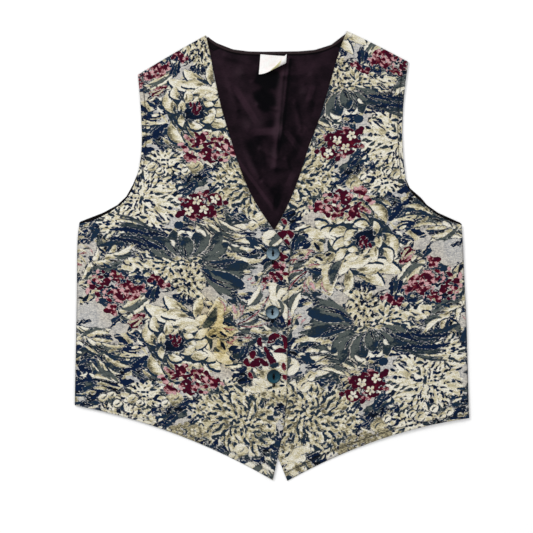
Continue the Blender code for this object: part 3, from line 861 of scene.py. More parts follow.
spot(179, 225, 10, 8, "leaf", 0.1, teeth=0.2)
for x, y, turn, length, width, yarn in (
        (172, 242, 176, 74, 13, "leaf"), (168, 250, 190, 62, 12, "navy"),
        (160, 236, 186, 52, 10, "navy")):
    leaf(x, y, turn, length, width, yarn, 0.25, 0.08, 7, ("leaf", 0.5), 0.4)
print("calyx blades:", len(CALYX))

# %% [markdown]
# ### The peony
#
# The open flower near the front edge draws the eye first. Its broad petals are few and each
# has its own curve, so no rule can set them. The table below goes round the flower, from the
# outer petals at the back to the short ones at its heart.

# %% Petals of the peony
# Each petal: x, y, turn, length, width, bend, tone at the base, tone across
PEONY = [
    (203, 326, -60, 34, 10, 0.1, 0.75, 0.5), (198, 322, -82, 26, 9, -0.08, 0.65, 0.4),
    (207, 328, -40, 34, 9, -0.1, 0.8, 0.45), (209, 333, -22, 20, 8, 0.02, 0.8, 0.45),
    (190, 312, 212, 30, 10, -0.1, 0.3, 0.35), (188, 318, 197, 44, 12, -0.1, 0.35, 0.35),
    (192, 320, 190, 30, 9, 0.1, 0.3, 0.4),
    (158, 344, 200, 18, 8, 0.25, 0.5, 0.45), (156, 352, -128, 28, 8, 0.22, 0.45, 0.45),
    (158, 346, -108, 26, 9, -0.25, 0.35, -0.4), (162, 332, -118, 18, 8, -0.2, 0.4, 0.3),
    (160, 354, 50, 34, 11, 0.24, 0.65, 0.5), (153, 350, 62, 28, 9, 0.25, 0.65, 0.5),
    (162, 362, 18, 34, 11, 0.24, 0.6, 0.5), (166, 356, 12, 30, 10, 0.24, 0.55, 0.45),
    (180, 366, -16, 28, 9, 0.22, 0.45, 0.4), (192, 360, -46, 24, 10, 0.18, 0.4, 0.35),
    (193, 366, 66, 18, 8, 0.08, 0.5, 0.3), (201, 360, 62, 20, 8, 0.08, 0.5, 0.3),
    (207, 352, 52, 22, 9, 0.08, 0.5, 0.3), (214, 347, 38, 22, 9, 0.08, 0.6, 0.3),
    (196, 346, 35, 24, 10, 0.08, 0.4, 0.35), (187, 350, 14, 22, 10, 0.1, 0.4, 0.35),
    (184, 343, -4, 24, 10, 0.05, 0.3, 0.3), (190, 336, -24, 20, 8, 0.12, 0.35, 0.3),
    (186, 327, -30, 24, 10, 0.1, 0.35, 0.3), (170, 328, -8, 30, 11, -0.08, 0.2, 0.25),
    (162, 336, -66, 17, 8, 0.18, 0.3, 0.3), (181, 334, -16, 18, 7, -0.1, 0.2, 0.25),
    (167, 352, -4, 22, 8, 0.2, 0.3, 0.4), (160, 345, -80, 13, 7, 0.1, 0.45, 0.3),
    (165, 345, 100, 14, 6, 0.2, 0.4, 0.3), (186, 338, 60, 15, 6, -0.2, 0.4, 0.3),
    (168, 351, 30, 17, 7, 0.15, 0.35, 0.3), (180, 352, -20, 16, 7, 0.15, 0.35, 0.3),
    (166, 336, -30, 14, 6, 0.25, 0.3, 0.3), (184, 330, 40, 12, 6, 0.15, 0.35, 0.3),
]
print("peony petals:", len(PEONY))

# %% [markdown]
# A petal is a blade with a dark rim, a tone that deepens to its base, and a few fine strokes.
# The heart is a handful of wine-red strokes over a navy spot.


# %% Draw the peony
def peony(x, y, seed):
    """A wide open flower: dark bed, petals with dark outlines, and a wine-red heart."""
    draw = np.random.default_rng(seed)
    spot(x + 5, y + 4, 66, 48, "leaf", 0.55, teeth=0.2)
    spot(x + 1, y + 4, 34, 30, "navy", 0.6, teeth=0.15)
    for px, py, turn, length, width, bend, tone, side in PEONY:
        blade(px - 0.8, py + 1.8, turn, length + 1, width + 1, "leaf", 0.2, bend=bend,
              broad=1.15, fullness=0.55)
        blade(px, py, turn, length, 1.12 * width, "petal", tone + 0.15, 0.22, side=side, bend=bend,
              broad=1.15, fullness=0.6, teeth=0.06, rim=("leaf", 0.4, 0.7))
        for _ in range(3):
            blade(px, py, turn + draw.uniform(-12, 12), length * draw.uniform(0.3, 0.7),
                  draw.uniform(1.3, 2.2), "petal", draw.uniform(0.7, 1.0), bend=bend)
        blade(px, py, turn + draw.uniform(-8, 8), length * 0.35, 2.4, "leaf", 0.5, bend=bend)
    spot(x + 1, y, 12, 13, "navy", 0.3, teeth=0.3)
    for off_x, off_y, turn, length in ((-3, 5, -75, 10), (0, 6, -95, 10), (1, 5, -50, 9),
                                       (-4, 1, -100, 7), (3, 2, -80, 7), (-2, 5, 10, 7)):
        blade(x + off_x, y + off_y, turn, length, draw.uniform(2.8, 3.8), "berry",
              draw.uniform(0, 0.3), bend=0.12, teeth=0.1)
    for _ in range(4):
        spot(x + draw.uniform(-4, 5), y + draw.uniform(-5, 5), 2.8, 1.4, "berry", 0.8)


peony(175, 339, 41)
# Soft broad petals beside it, with a pointed leaf and three buds
for x, y, turn, length, width, tone in (
        (222, 300, 96, 40, 12, 0.35), (208, 331, -4, 30, 13, 0.4), (206, 320, -50, 26, 9, 0.45),
        (214, 352, 30, 22, 9, 0.3)):
    blade(x, y, turn, length, width, "petal", tone, tone + 0.1, teeth=0.15, bend=0.06)
leaf(203, 328, -58, 25, 9, "leaf", 0.75, 0.1, 3, ("leaf", 0.3), 0.0, ("navy", 0.9, 0.9), 0.2)
for x, y, turn in ((207, 336, -30), (218, 340, 50), (216, 330, 20)):
    leaf(x, y, turn, 15, 10, "petal", 0.6, 0.08, 2, ("petal", 0.9), 0.0, ("leaf", 0.5, 1.0))
    blade(x + 3, y + 1, turn + 14, 10, 3.4, "navy", 0.6)
print("peony drawn with its buds")

# %% [markdown]
# ### Buds and small blossoms
#
# Round cream buds sit among the leaves, each with two curved shadow lines that make it look
# like a ball. Beside the front edge stand two more shapes, a folded bud and a split blossom,
# from a few blades each.

# %% Round pale buds and blossoms
# x, y, size and tone
BUDS = [
    (196, 167, 15, 0.55), (192, 155, 10, 0.45), (186, 172, 9, 0.2), (261, 219, 15, 0.5),
    (271, 238, 18, 0.15), (133, 399, 11, 0.5), (140, 403, 8, 0.4), (124, 166, 10, 0.3),
    (253, 226, 11, 0.45), (138, 172, 9, 0.2), (226, 158, 9, 0.6), (112, 395, 9, 0.4),
]
for x, y, size, tone in BUDS:
    spot(x, y, size, size * 0.9, "petal", tone, side=0.35, rim=("leaf", 0.4, 1.1))
    blade(x - size * 0.3, y + size * 0.1, -35, size * 0.7, 1.5, "leaf", 0.6, bend=0.2)
    blade(x - size * 0.1, y + size * 0.35, -30, size * 0.6, 1.2, "leaf", 0.6, bend=0.25)
for x, y, turn, length, width, yarn, tone, bend in (
        (270, 246, -48, 17, 9, "leaf", 0.95, 0.1), (272, 246, -40, 15, 3, "petal", 0.1, 0.1),
        (276, 306, -98, 24, 13, "petal", 0.1, 0.05), (278, 300, -92, 15, 6, "leaf", 0.95, 0.08),
        (279, 303, -80, 14, 2, "navy", 0.3, 0.1), (286, 319, -118, 20, 8, "petal", 0.1, 0.18),
        (278, 301, -52, 17, 6, "petal", 0.1, -0.2), (282, 314, -105, 15, 4, "leaf", 0.9, 0.15)):
    blade(x, y, turn, length, width, yarn, tone, tone + 0.15, bend=bend, fullness=0.5,
          rim=("leaf", 0.5, 0.6) if width > 7 else None)
print("buds:", len(BUDS))

# %% [markdown]
# ### Where the clusters lie
#
# The clusters come after the flowers, because their red yarn lies over the petals. Each call
# gives the middle, half width, half height and seed, and how many red blots and pink ones.

# %% Berry clusters
cluster(202, 206, 22, 13, 51, blots=26, pinks=8, pink=0.75,
        florets=((-13, 5), (-5, -5), (2, 4), (13, -7)))
for x, y in ((178, 216), (182, 214), (180, 213), (207, 192), (226, 203)):
    spot(x, y, 6, 5, "berry", 0.0)
cluster(112, 286, 25, 16, 52, blots=25, pinks=19, pink=0.95, turn=12)
cluster(113, 311, 6, 5, 53, blots=4, pinks=4)
cluster(158, 281, 13, 4, 54, blots=8, pinks=4, turn=20)
cluster(137, 321, 11, 4, 55, blots=10, pinks=2, turn=-35)
cluster(188, 379, 26, 16, 56, blots=36, pinks=20)
cluster(213, 381, 9, 4, 57, blots=6, pinks=3, turn=20)
cluster(281, 262, 7, 8, 58, blots=9, pinks=3)
cluster(273, 277, 14, 5, 59, blots=9, pinks=5, turn=-15)
cluster(150, 60, 14, 8, 60, blots=8, pinks=10)
cluster(316, 300, 16, 10, 61, blots=10, pinks=10)
print("clusters drawn")

# %% [markdown]
# ### The wine-red flower
#
# Half of this flower shows before the front edge cuts it off. Its wine-red pieces curl round
# cream ones. Every piece is one blade with a thin dark rim, laid in this order.

# %% The wine-red flower at the front edge, with cream petals between its pieces
# x, y, turn, length, width, bend, yarn, tone
TULIP = [
    (246, 388, -8, 22, 9, 0.1, "petal", 0.25), (252, 378, 12, 24, 8, 0.12, "petal", 0.2),
    (272, 346, 12, 16, 6, 0.05, "petal", 0.1), (273, 352, 25, 17, 11, 0.1, "petal", 0.05),
    (262, 360, 50, 15, 6, 0.15, "petal", 0.15), (276, 366, 30, 14, 8, 0.0, "petal", 0.15),
    (266, 343, -42, 15, 5, 0.15, "berry", 0.0), (268, 340, -20, 13, 7, -0.15, "berry", 0.02),
    (261, 336, 85, 11, 6, 0.2, "berry", 0.0), (281, 334, 80, 17, 6, -0.2, "berry", 0.05),
    (265, 345, 60, 8, 5, 0.2, "berry", 0.05), (273, 352, -4, 14, 5, -0.1, "berry", 0.0),
    (254, 350, 100, 9, 7, 0.1, "berry", 0.1), (267, 352, 50, 19, 7, 0.1, "berry", 0.0),
    (247, 357, 75, 10, 6, 0.2, "berry", 0.0), (250, 366, -28, 16, 9, 0.0, "berry", 0.02),
    (260, 358, 40, 12, 6, 0.1, "berry", 0.0), (249, 371, 60, 9, 5, 0.1, "berry", 0.3),
    (283, 362, 80, 9, 5, 0.0, "berry", 0.35), (282, 374, 40, 9, 5, 0.0, "berry", 0.45),
    (256, 342, 160, 9, 4, 0.1, "leaf", 0.3), (270, 366, -20, 9, 4, 0.1, "leaf", 0.3),
]
leaf(229, 359, -42, 28, 13, "navy", 0.15, 0.12, 8, ("leaf", 0.55), 0.35, ("petal", 0.15, 0.7))
leaf(238, 362, -70, 20, 8, "leaf", 0.3, 0.1, 5, ("navy", 0.3), 0.3)
for x, y, turn, length, width, bend, yarn, tone in TULIP:
    blade(x, y, turn, length, width, yarn, tone, tone + 0.2, bend=bend, teeth=0.12,
          rim=("leaf", 0.2, 0.5))
print("pieces of the wine-red flower:", len(TULIP))

# %% [markdown]
# ### Fans and twigs
#
# Where the ground would look empty, the weaver sets small fans of fine strokes in rose, khaki
# and grey. They are the last strokes of the print, and the share of the cloth that is covered
# shows whether enough ground is left.

# %% Small fans of rose and khaki, and thin twigs
draw = np.random.default_rng(71)
# x, y, turn, how many strokes, length
for x, y, turn, strokes, length in (
        (236, 318, -85, 12, 20), (228, 312, -110, 6, 15), (240, 316, -50, 8, 18),
        (230, 339, -10, 9, 16), (242, 337, -4, 6, 13), (226, 330, 5, 5, 13),
        (150, 92, -40, 6, 14), (258, 288, -60, 5, 14), (84, 264, -150, 6, 14),
        (90, 252, -160, 5, 14), (248, 282, -20, 5, 12)):
    for step in range(strokes):
        way = turn + draw.uniform(-38, 38)
        yarn, tone = (("berry", 0.75), ("petal", 0.7), ("leaf", 0.7), ("petal", 0.45))[step % 4]
        blade(x + draw.uniform(-4, 4), y + draw.uniform(-4, 4), way, length * draw.uniform(0.5, 1.1),
              draw.uniform(1.2, 2.2), yarn, tone, bend=0.12)
for x, y, turn, length in ((235, 325, -34, 34), (262, 306, -60, 16), (240, 326, -8, 30)):
    blade(x, y, turn, length, 1.6, "berry", 0.5, bend=0.08, fullness=0.3)
covered = 1 - np.mean(np.all([sheet < 0 for sheet in inside_of.values()], axis=0))
print("share of the cloth under flowers and leaves:", round(float(covered), 2))

# %% [markdown]
# ## Weave and yarns
#
# A shader node group holds what every woven cloth here shares: floats of yarn laid in rows,
# each with its own random value, and the height of the rows. The tapestry uses the random
# values to pick the darker or lighter yarn, which is how a real loom shades a petal.


# %% Helpers for values and groups
def math_node(tree, operation, *values):
    """A Math node on fixed values or other nodes' outputs."""
    return node(tree, "ShaderNodeMath", dict(enumerate(values)), operation=operation).outputs[0]


def times(tree, first, second):
    """Two values multiplied."""
    return math_node(tree, "MULTIPLY", first, second)


def plus(tree, first, second):
    """Two values added."""
    return math_node(tree, "ADD", first, second)


def new_group(kind, name, inputs, outputs):
    """A node group with named sockets, its input side and its output side."""
    group = bpy.data.node_groups.new(name, kind)
    for side, sockets in (("INPUT", inputs), ("OUTPUT", outputs)):
        for title, socket in sockets.items():
            group.interface.new_socket(title, in_out=side, socket_type="NodeSocket" + socket)
    return group, group.nodes.new("NodeGroupInput").outputs, group.nodes.new("NodeGroupOutput")


print("helpers for values ready")

# %% [markdown]
# ### One weave for several cloths
#
# Cloth is made of rows of threads that float over and under each other. The weave is a small
# group of nodes with named sockets, so every cloth uses the same one with its own sizes.

# %% Weave group
weave_group, given, result = new_group(
    "ShaderNodeTree", "weave", {"Place": "Vector", "Float Length": "Float", "Row Height": "Float"},
    {"Yarn": "Float", "Second Yarn": "Float", "Height": "Float"})


def arch(value):
    """A round rise over each whole step of a value."""
    turn = times(weave_group, math_node(weave_group, "FRACT", value), math.pi)
    return math_node(weave_group, "SINE", turn)


parts = node(weave_group, "ShaderNodeSeparateXYZ", {0: given["Place"]}).outputs
row = math_node(weave_group, "DIVIDE", parts["Y"], given["Row Height"])
row_number = math_node(weave_group, "FLOOR", row)
stagger = node(weave_group, "ShaderNodeTexWhiteNoise", {"W": row_number}, noise_dimensions="1D")
float_place = plus(weave_group, math_node(weave_group, "DIVIDE", parts["X"], given["Float Length"]),
                   stagger.outputs["Value"])
cell = node(weave_group, "ShaderNodeCombineXYZ",
            {"X": math_node(weave_group, "FLOOR", float_place), "Y": row_number})
chance = node(weave_group, "ShaderNodeTexWhiteNoise", {"Vector": cell.outputs[0]},
              noise_dimensions="2D")
chance_parts = node(weave_group, "ShaderNodeSeparateColor", {0: chance.outputs["Color"]}).outputs
blunt_float = math_node(weave_group, "POWER", arch(float_place), 0.4)
feed(weave_group, result, {"Yarn": chance_parts[0], "Second Yarn": chance_parts[1],
                           "Height": times(weave_group, arch(row), blunt_float)})
print("weave group:", len(weave_group.nodes), "nodes")

# %% [markdown]
# ### Helpers that every cloth uses
#
# Every finish asks for the same few things: the weave at its own scale, a soft step, a value
# that the cloth's points carry, and a height that lifts the surface. Each gets a short name.


# %% Helpers for the finishes
def woven(tree, place, float_length, row_height):
    """What the weave group puts out on cloth places in millimetres."""
    return node(tree, "ShaderNodeGroup", {"Place": place, "Float Length": float_length,
                                          "Row Height": row_height}, node_tree=weave_group).outputs


def step_between(tree, value, low, high):
    """A share that goes from 0 at low to 1 at high."""
    return node(tree, "ShaderNodeMapRange", {"Value": value, "From Min": low, "From Max": high},
                interpolation_type="SMOOTHSTEP").outputs["Result"]


def spread(tree, value, low, high):
    """A share from 0 to 1, spread between low and high."""
    return node(tree, "ShaderNodeMapRange",
                {"Value": value, "To Min": low, "To Max": high}).outputs["Result"]


def carried(tree, name, output="Fac"):
    """A value that the cloth's own points carry."""
    return node(tree, "ShaderNodeAttribute", attribute_name=name).outputs[output]


def raised(tree, height, strength, distance):
    """The way a surface faces where a height lifts it."""
    return node(tree, "ShaderNodeBump", {"Height": height, "Strength": strength,
                                         "Distance": distance}).outputs[0]


print("helpers for the finishes ready")

# %% [markdown]
# ## Tapestry
#
# Each yarn colour shows where its distance is above zero. Before the test, a random value of
# the float is added, so edges fray by a thread as they do in the real weave. Petals run
# from cream to khaki, leaves from slate to grey-green, berries from wine red to pink.

# %% Yarn colours, light to dark
YARN_COLOURS = {
    "petal": (linear(240, 236, 221), linear(206, 195, 158), linear(100, 94, 74)),
    "leaf": (linear(22, 43, 66), linear(32, 44, 52), linear(88, 95, 92)),
    "navy": (linear(8, 28, 60), linear(8, 22, 42), linear(3, 7, 14)),
    "berry": (linear(58, 2, 26), linear(98, 6, 28), linear(214, 168, 170)),
}
GROUND_COLOURS = ((linear(210, 207, 201), linear(182, 182, 182)),
                  (linear(210, 203, 190), linear(180, 173, 165)))
# The last colour is the painted shade in the stitch grooves and along the edges
GREY_LINE, SPECKLE, GROOVE_AND_EDGE_SHADE = linear(96, 98, 104), linear(28, 34, 42), linear(24, 28, 34)
GOLDEN_TINT = linear(252, 236, 186)
PLUM = linear(34, 26, 32)
print("yarns with three shades each:", len(YARN_COLOURS))

# %% [markdown]
# ### Ground
#
# Between the flowers the cloth is pale grey, cooler or warmer from yarn to yarn. The ground is
# made first, and the coloured yarns are laid over it in the next cell.

# %% Ground of the tapestry
tapestry, tree, shader = new_material("flower_tapestry")
fabric = carried(tree, "fabric", "Vector")
threads = woven(tree, fabric, 1.9, 0.75)

blue_float = step_between(tree, woven(tree, fabric, 2.6, 1.3)["Yarn"], 0.62, 0.75)
cool, warm = [mix(tree, blue_float, *pair) for pair in GROUND_COLOURS]
colour = mix(tree, step_between(tree, noise(tree, fabric, 0.012), 0.45, 0.65), cool, warm)
for stretch in ((1.1, 0.1, 1.0), (0.1, 1.1, 1.0)):
    drawn_out = node(tree, "ShaderNodeMapping", {"Scale": stretch, "Vector": fabric}).outputs[0]
    line = step_between(tree, noise(tree, drawn_out, 0.8), 0.52, 0.66)
    colour = mix(tree, times(tree, line, 0.3), colour, GREY_LINE)
print("ground has grey lines both ways")

# %% [markdown]
# Over the ground come the four yarns, each by the same rule, so one loop lays them. Then fine
# speckles, the golden tint, the shade of the seams and the plain plum of the wrong side.


# %% Yarns of the tapestry and its finish
def centred(value, amount):
    """A random value from 0 to 1, moved to lie round zero and made smaller."""
    return times(tree, math_node(tree, "SUBTRACT", value, 0.5), amount)


fray = centred(threads["Yarn"], 0.5)
shade = plus(tree, carried(tree, "tone"), centred(threads["Second Yarn"], 0.4))
for yarn, (light, middle, dark) in YARN_COLOURS.items():
    first = mix(tree, step_between(tree, shade, 0.1, 0.55), light, middle)
    yarn_colour = mix(tree, step_between(tree, shade, 0.5, 0.95), first, dark)
    frayed = plus(tree, carried(tree, yarn), fray)
    colour = mix(tree, step_between(tree, frayed, -0.15, 0.15), colour, yarn_colour)
speckle = step_between(tree, noise(tree, fabric, 0.9, 3.0), 0.35, 0.65)
colour = mix(tree, times(tree, speckle, 0.34), colour, SPECKLE)
colour = mix(tree, carried(tree, "golden"), colour, GOLDEN_TINT, blend_type="MULTIPLY")
# Painted shade in the stitch grooves and along the edges of the fronts
colour = mix(tree, times(tree, carried(tree, "seam"), 0.75), colour, GROOVE_AND_EDGE_SHADE)
wrong_side = step_between(tree, carried(tree, "wrong_side"), 0.4, 0.6)
feed(tree, shader, {"Base Color": mix(tree, wrong_side, colour, PLUM),
                    "Roughness": spread(tree, threads["Yarn"], 0.72, 0.92),
                    "Sheen Weight": 0.005, "Sheen Roughness": 0.5, "Specular IOR Level": 0.02,
                    "Normal": raised(tree, threads["Height"], 0.5, 0.0003)})
print("tapestry material:", len(tree.nodes), "nodes")

# %% [markdown]
# ## How the fronts lie
#
# The fronts rest on the lining. Past the back's hem they sink to the table, and the right
# front climbs over the left one by a cloth's thickness. Soft ridges are listed where such
# cloth lifts when it is laid down: from the underarm towards the buttons, down from the
# shoulder, and along the hem. They fade out at the edges and at the buttons.

# %% Soft ridges
# Start x, start y, end x, end y, height, width
RIDGES = [
    (-0.225, 0.03, -0.08, -0.02, 0.001, 0.018),
    (-0.24, -0.06, -0.11, -0.085, 0.0009, 0.02),
    (-0.13, 0.215, -0.11, 0.12, 0.0008, 0.012),
    (-0.15, 0.11, -0.075, 0.06, 0.0009, 0.014),
    (-0.2, -0.125, -0.12, -0.2, 0.001, 0.018),
    (-0.11, -0.09, -0.075, -0.225, 0.0008, 0.016),
    (0.222, 0.028, 0.09, -0.03, 0.001, 0.018),
    (0.235, -0.09, 0.12, -0.105, 0.0009, 0.02),
    (0.135, 0.225, 0.115, 0.13, 0.0008, 0.012),
    (0.155, 0.1, 0.08, 0.045, 0.0009, 0.014),
    (0.205, -0.14, 0.13, -0.205, 0.001, 0.018),
    (0.105, -0.075, 0.085, -0.22, 0.0008, 0.016),
]


def rise_along(lines, x, y, fade=1.0):
    """Rise of all the ridges or folds in a table. A last value widens the left side of one."""
    total = np.zeros_like(x)
    for start_x, start_y, end_x, end_y, height, width, *slant in lines:
        run = np.array((end_x - start_x, end_y - start_y))
        length = float(np.hypot(*run))
        along = ((x - start_x) * run[0] + (y - start_y) * run[1]) / length
        aside = ((y - start_y) * run[0] - (x - start_x) * run[1]) / length
        beyond = np.maximum(0, np.maximum(-along, along - length))
        side = np.where(aside < 0, width, width * slant[0]) if slant else width
        total += height * np.exp(-((aside / side) ** 2) - (beyond / (fade * width)) ** 2)
    return total


print("soft ridges:", len(RIDGES))

# %% [markdown]
# ### Height of every point
#
# The lower face of a front follows what it rests on. Round the middle it bulges a little, at
# the seams it sinks to the back, and where it laps over the other front it climbs by one cloth.

# %% Heights of a front
EDGE_DIP = 0.008
SECTION_DROP = 0.03
LOWER_STRETCH = 1.2
HEM_FALL = 0.058
LAP_EASE = 0.032
LAP_MARGIN = 0.01
CROWN = 0.0022
PLACKET = 0.045
SHOULDER_SECTIONS = 2


def front_seat(x, y):
    """Height of what a front rests on: the lining, and past the back's hem the table."""
    return SEAT * (1 - ease((np.interp(x, *BACK_HEM) - y) / HEM_FALL))


def front_height(sections, laps_over, position, across):
    """Places of a front's lower face, and how far each is from its edges."""
    x, y, span = front_plane(sections, position, across)
    to_outer = across * span
    to_inner = (1 - across) * span
    to_shoulder = position * SECTION_DROP
    rows_left = len(sections) - 1 - position
    middle = ease((to_inner - PLACKET) / PLACKET) * ease(to_outer / PLACKET)
    middle = middle * ease(rows_left / HEM_SECTIONS) * ease(position / SHOULDER_SECTIONS)
    seat = front_seat(x, y)
    height = seat + CROWN * middle + rise_along(RIDGES, x, y, fade=1.5) * middle
    seam = np.minimum(to_outer, to_shoulder) / EDGE_DIP
    height = height - (LINING_WALL + GAP) * (1 - ease(seam)) * seat / SEAT
    if laps_over:
        past = x - np.interp(y, *LEFT_EDGE) + LAP_EASE + LAP_MARGIN
        height = height + (FRONT_WALL + GAP) * ease(past / LAP_EASE)
    to_hem = rows_left * SECTION_DROP * LOWER_STRETCH
    return x, y, np.maximum(height, 0.0), (to_outer, to_inner, to_shoulder, to_hem)


print("a front bulges up to", round(CROWN / MM, 1), "mm")

# %% [markdown]
# ### A cloth with two faces
#
# A cloth is a closed shell. Its upper face has many points, because it carries the print.
# Its lower face has few, and the walls between them are many-sided faces, so nothing is open.

# %% Build a two-faced cloth
SHARP_ANGLE = math.radians(50)
SHELL_THINNER = 0.0001


def squares(number):
    """The four corners of every square in a grid of point numbers."""
    return np.stack([number[:-1, :-1], number[1:, :-1], number[1:, 1:], number[:-1, 1:]], -1)


def cloth_shell(name, top, wall, step=10):
    """A closed mesh from a grid of upper points. The lower face takes every step-th point."""
    rows, columns = top.shape[:2]
    row_picks = sorted({*range(0, rows, step), rows - 1})
    column_picks = sorted({*range(0, columns, step), columns - 1})
    number = np.arange(rows * columns).reshape(rows, columns)
    under = top[np.ix_(row_picks, column_picks)].copy()
    under[..., 2] = np.maximum(under[..., 2] - (wall - SHELL_THINNER), 0.0)
    low = rows * columns + np.arange(under[..., 0].size).reshape(under.shape[:2])
    low_squares = squares(low)[..., [0, 3, 2, 1]]
    faces = squares(number).reshape(-1, 4).tolist() + low_squares.reshape(-1, 4).tolist()
    for picks, upper, lower, turned in (
            (row_picks, number[:, 0], low[:, 0], True), (row_picks, number[:, -1], low[:, -1], False),
            (column_picks, number[-1], low[-1], True), (column_picks, number[0], low[0], False)):
        for k, (start, end) in enumerate(zip(picks, picks[1:])):
            wall_face = [*upper[start:end + 1].tolist(), int(lower[k + 1]), int(lower[k])]
            edge = end + 1 - start
            faces.append(wall_face[:edge][::-1] + wall_face[edge:][::-1] if turned else wall_face)
    mesh = bpy.data.meshes.new(name)
    mesh.from_pydata(np.concatenate([top.reshape(-1, 3), under.reshape(-1, 3)]).tolist(), [], faces)
    if np.sum(np.cross(top[1:, :-1] - top[:-1, :-1], top[:-1, 1:] - top[:-1, :-1])[..., 2]) < 0:
        mesh.flip_normals()
    mesh.shade_smooth()
    mesh.set_sharp_from_angle(angle=SHARP_ANGLE)
    return new_object(name, mesh)


def carry(piece, name, values, rest=0.0, kind="value"):
    """Stores a value or a vector on every point of a piece. Points past the values get rest."""
    values = np.asarray(values, np.float32).ravel()
    size, data_type = (3, "FLOAT_VECTOR") if kind == "vector" else (1, "FLOAT")
    values = np.pad(values, (0, size * len(piece.data.vertices) - len(values)),
                    constant_values=rest)
    piece.data.attributes.new(name, data_type, "POINT").data.foreach_set(kind, values)


def count(piece):
    """The triangles of a piece."""
    return sum(len(face.vertices) - 2 for face in piece.data.polygons)


def stand_in(piece, solid, finish):
    """Gives a finished piece its material, and lets it take the place of a solid."""
    piece.data.materials.append(finish)
    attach(piece, "root")
    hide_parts(solid)
    print(piece.name, count(piece), "triangles")


print("cloth builder ready")

# %% [markdown]
# ### The print on a front
#
# Both fronts are cut from the same cloth. The right one follows the pattern upright, and the
# left one was cut with the cloth turned nearly half round. So each point of a front asks where
# it lies on the cloth and reads the sheets there, as if the print were on the cloth first.

# %% Places on the printed cloth
PICTURE_ZERO = (272.0, 256.0)
TURNED_HUB = ((184.0, 242.0), (375.0, 345.1))
TURNED_BY = -169
TURNED_STRETCH = (1.0, 0.955)
# Pull of the cloth near a shoulder: where it starts, over how far, from which x, and two shifts
# with their change by x
UPRIGHT_PULL = (100.0, 32.0, 182.0, (0.0, -6.5), (0.35, 0.27))
TURNED_PULL = (115.0, 60.0, 360.0, (-10.0, 10.0), (-0.3, 0.2))


def shoulder_pull(place, start, reach, middle, shift, change):
    """How far the print is pulled near a shoulder."""
    amount = ease((start - place[..., 1:]) / reach)
    return amount * (np.array(shift) + (place[..., :1] - middle) * change)


def cloth_place(x, y, turned):
    """Where a point lies on the printed cloth, in steps of 1.3 mm down and across."""
    place = np.stack([PICTURE_ZERO[0] + x / UNIT, PICTURE_ZERO[1] - y / UNIT], -1)
    if not turned:
        return place + shoulder_pull(place, *UPRIGHT_PULL)
    off = (place - TURNED_HUB[1]) * TURNED_STRETCH
    cosine, sine = heading(TURNED_BY)
    turned_place = np.stack([off[..., 0] * cosine - off[..., 1] * sine,
                             off[..., 0] * sine + off[..., 1] * cosine], -1) + TURNED_HUB[0]
    return turned_place + shoulder_pull(place, *TURNED_PULL)


def read_sheet(sheet, s, t):
    """Value of a sheet between its cells. The sheet repeats down the cloth."""
    column = np.clip((s - SHEET_LEFT) * CELLS, 0, COLUMNS - 1.001)
    row = (t * FINE) % ROWS
    left, up = column.astype(int), row.astype(int) % ROWS
    right_share, down_share = column - left, row - np.floor(row)
    down = (up + 1) % ROWS
    above = sheet[up, left] * (1 - right_share) + sheet[up, left + 1] * right_share
    below = sheet[down, left] * (1 - right_share) + sheet[down, left + 1] * right_share
    return above * (1 - down_share) + below * down_share


print("the left front's cloth is turned by", TURNED_BY, "degrees")

# %% [markdown]
# ### Edges and stitch lines
#
# At the armholes and hem the cloth is turned in and stitched, so the edge is rounded and a
# little thicker up to a groove. Rows lie close together at the edges, where the shape changes
# fast, and wide apart in the middle.

# %% Edges and surface of a front
EDGE_ROUND = 0.0013
EDGE_DROP = 0.55
TURNING = 0.0065
HEM_TURNING = 0.0085
TURNING_RISE = 0.00018
STITCH_GROOVE = 0.0004


def border_steps(count, first, second):
    """Even steps from 0 to 1, with two closer ones at each end."""
    middle = np.linspace(second * 2.2, 1 - second * 2.2, count - 6)
    return np.array([0, first, second, *middle, 1 - second, 1 - first, 1.0])


def even_rows(sections, shares):
    """Positions down a front whose rows lie at the given shares of its mean length."""
    fine = np.linspace(0, len(sections) - 1, 1601)
    position, across = np.meshgrid(fine, np.linspace(0, 1, 9), indexing="ij")
    x, y, _ = front_plane(sections, position, across)
    steps = np.hypot(np.diff(x, axis=0), np.diff(y, axis=0)).mean(axis=1)
    travelled = np.concatenate([[0], np.cumsum(steps)])
    return np.interp(shares * travelled[-1], travelled, fine)


def edge_profile(wall, distances, stitched=()):
    """Change of height near the edges: a rounded edge, a thicker turning, a stitch groove."""
    share = np.clip(1 - np.minimum.reduce(distances) / EDGE_ROUND, 0, 1)
    drop = -EDGE_DROP * wall * (1 - np.sqrt(1 - share**2))
    for distance, inset in stitched:
        drop = drop + TURNING_RISE * ease((inset - distance) / 0.002)
        drop = drop - STITCH_GROOVE * np.exp(-(((distance - inset) / 0.0007) ** 2))
    return drop


def front_surface(sections, laps_over, position, across):
    """Places of a front's upper face."""
    x, y, under, distances = front_height(sections, laps_over, position, across)
    stitched = [(distances[0], TURNING), (distances[3], HEM_TURNING)]
    height = under + FRONT_WALL + edge_profile(FRONT_WALL, distances, stitched)
    return np.stack([x, y, height], -1)


print("stitches lie", TURNING / MM, "mm in from the armhole")

# %% [markdown]
# ### Shades of a front
#
# Two shades aren't part of the print. Grooves and edges get painted shade, darker where less
# light reaches them, and one place near the peony has yellowed. Both are values on the points,
# so they need no picture.

# %% Shades of a front
SIDE_SEAM = 8.0
# Middle, half width and height, turn and strength of the golden place
GOLDEN = (-0.07, -0.098, 0.021, 0.048, 18.3346)
GOLDEN_STRENGTH = 0.75


def line_shade(distance, width):
    """A dark line that fades to both sides."""
    return np.exp(-((distance / width) ** 2))


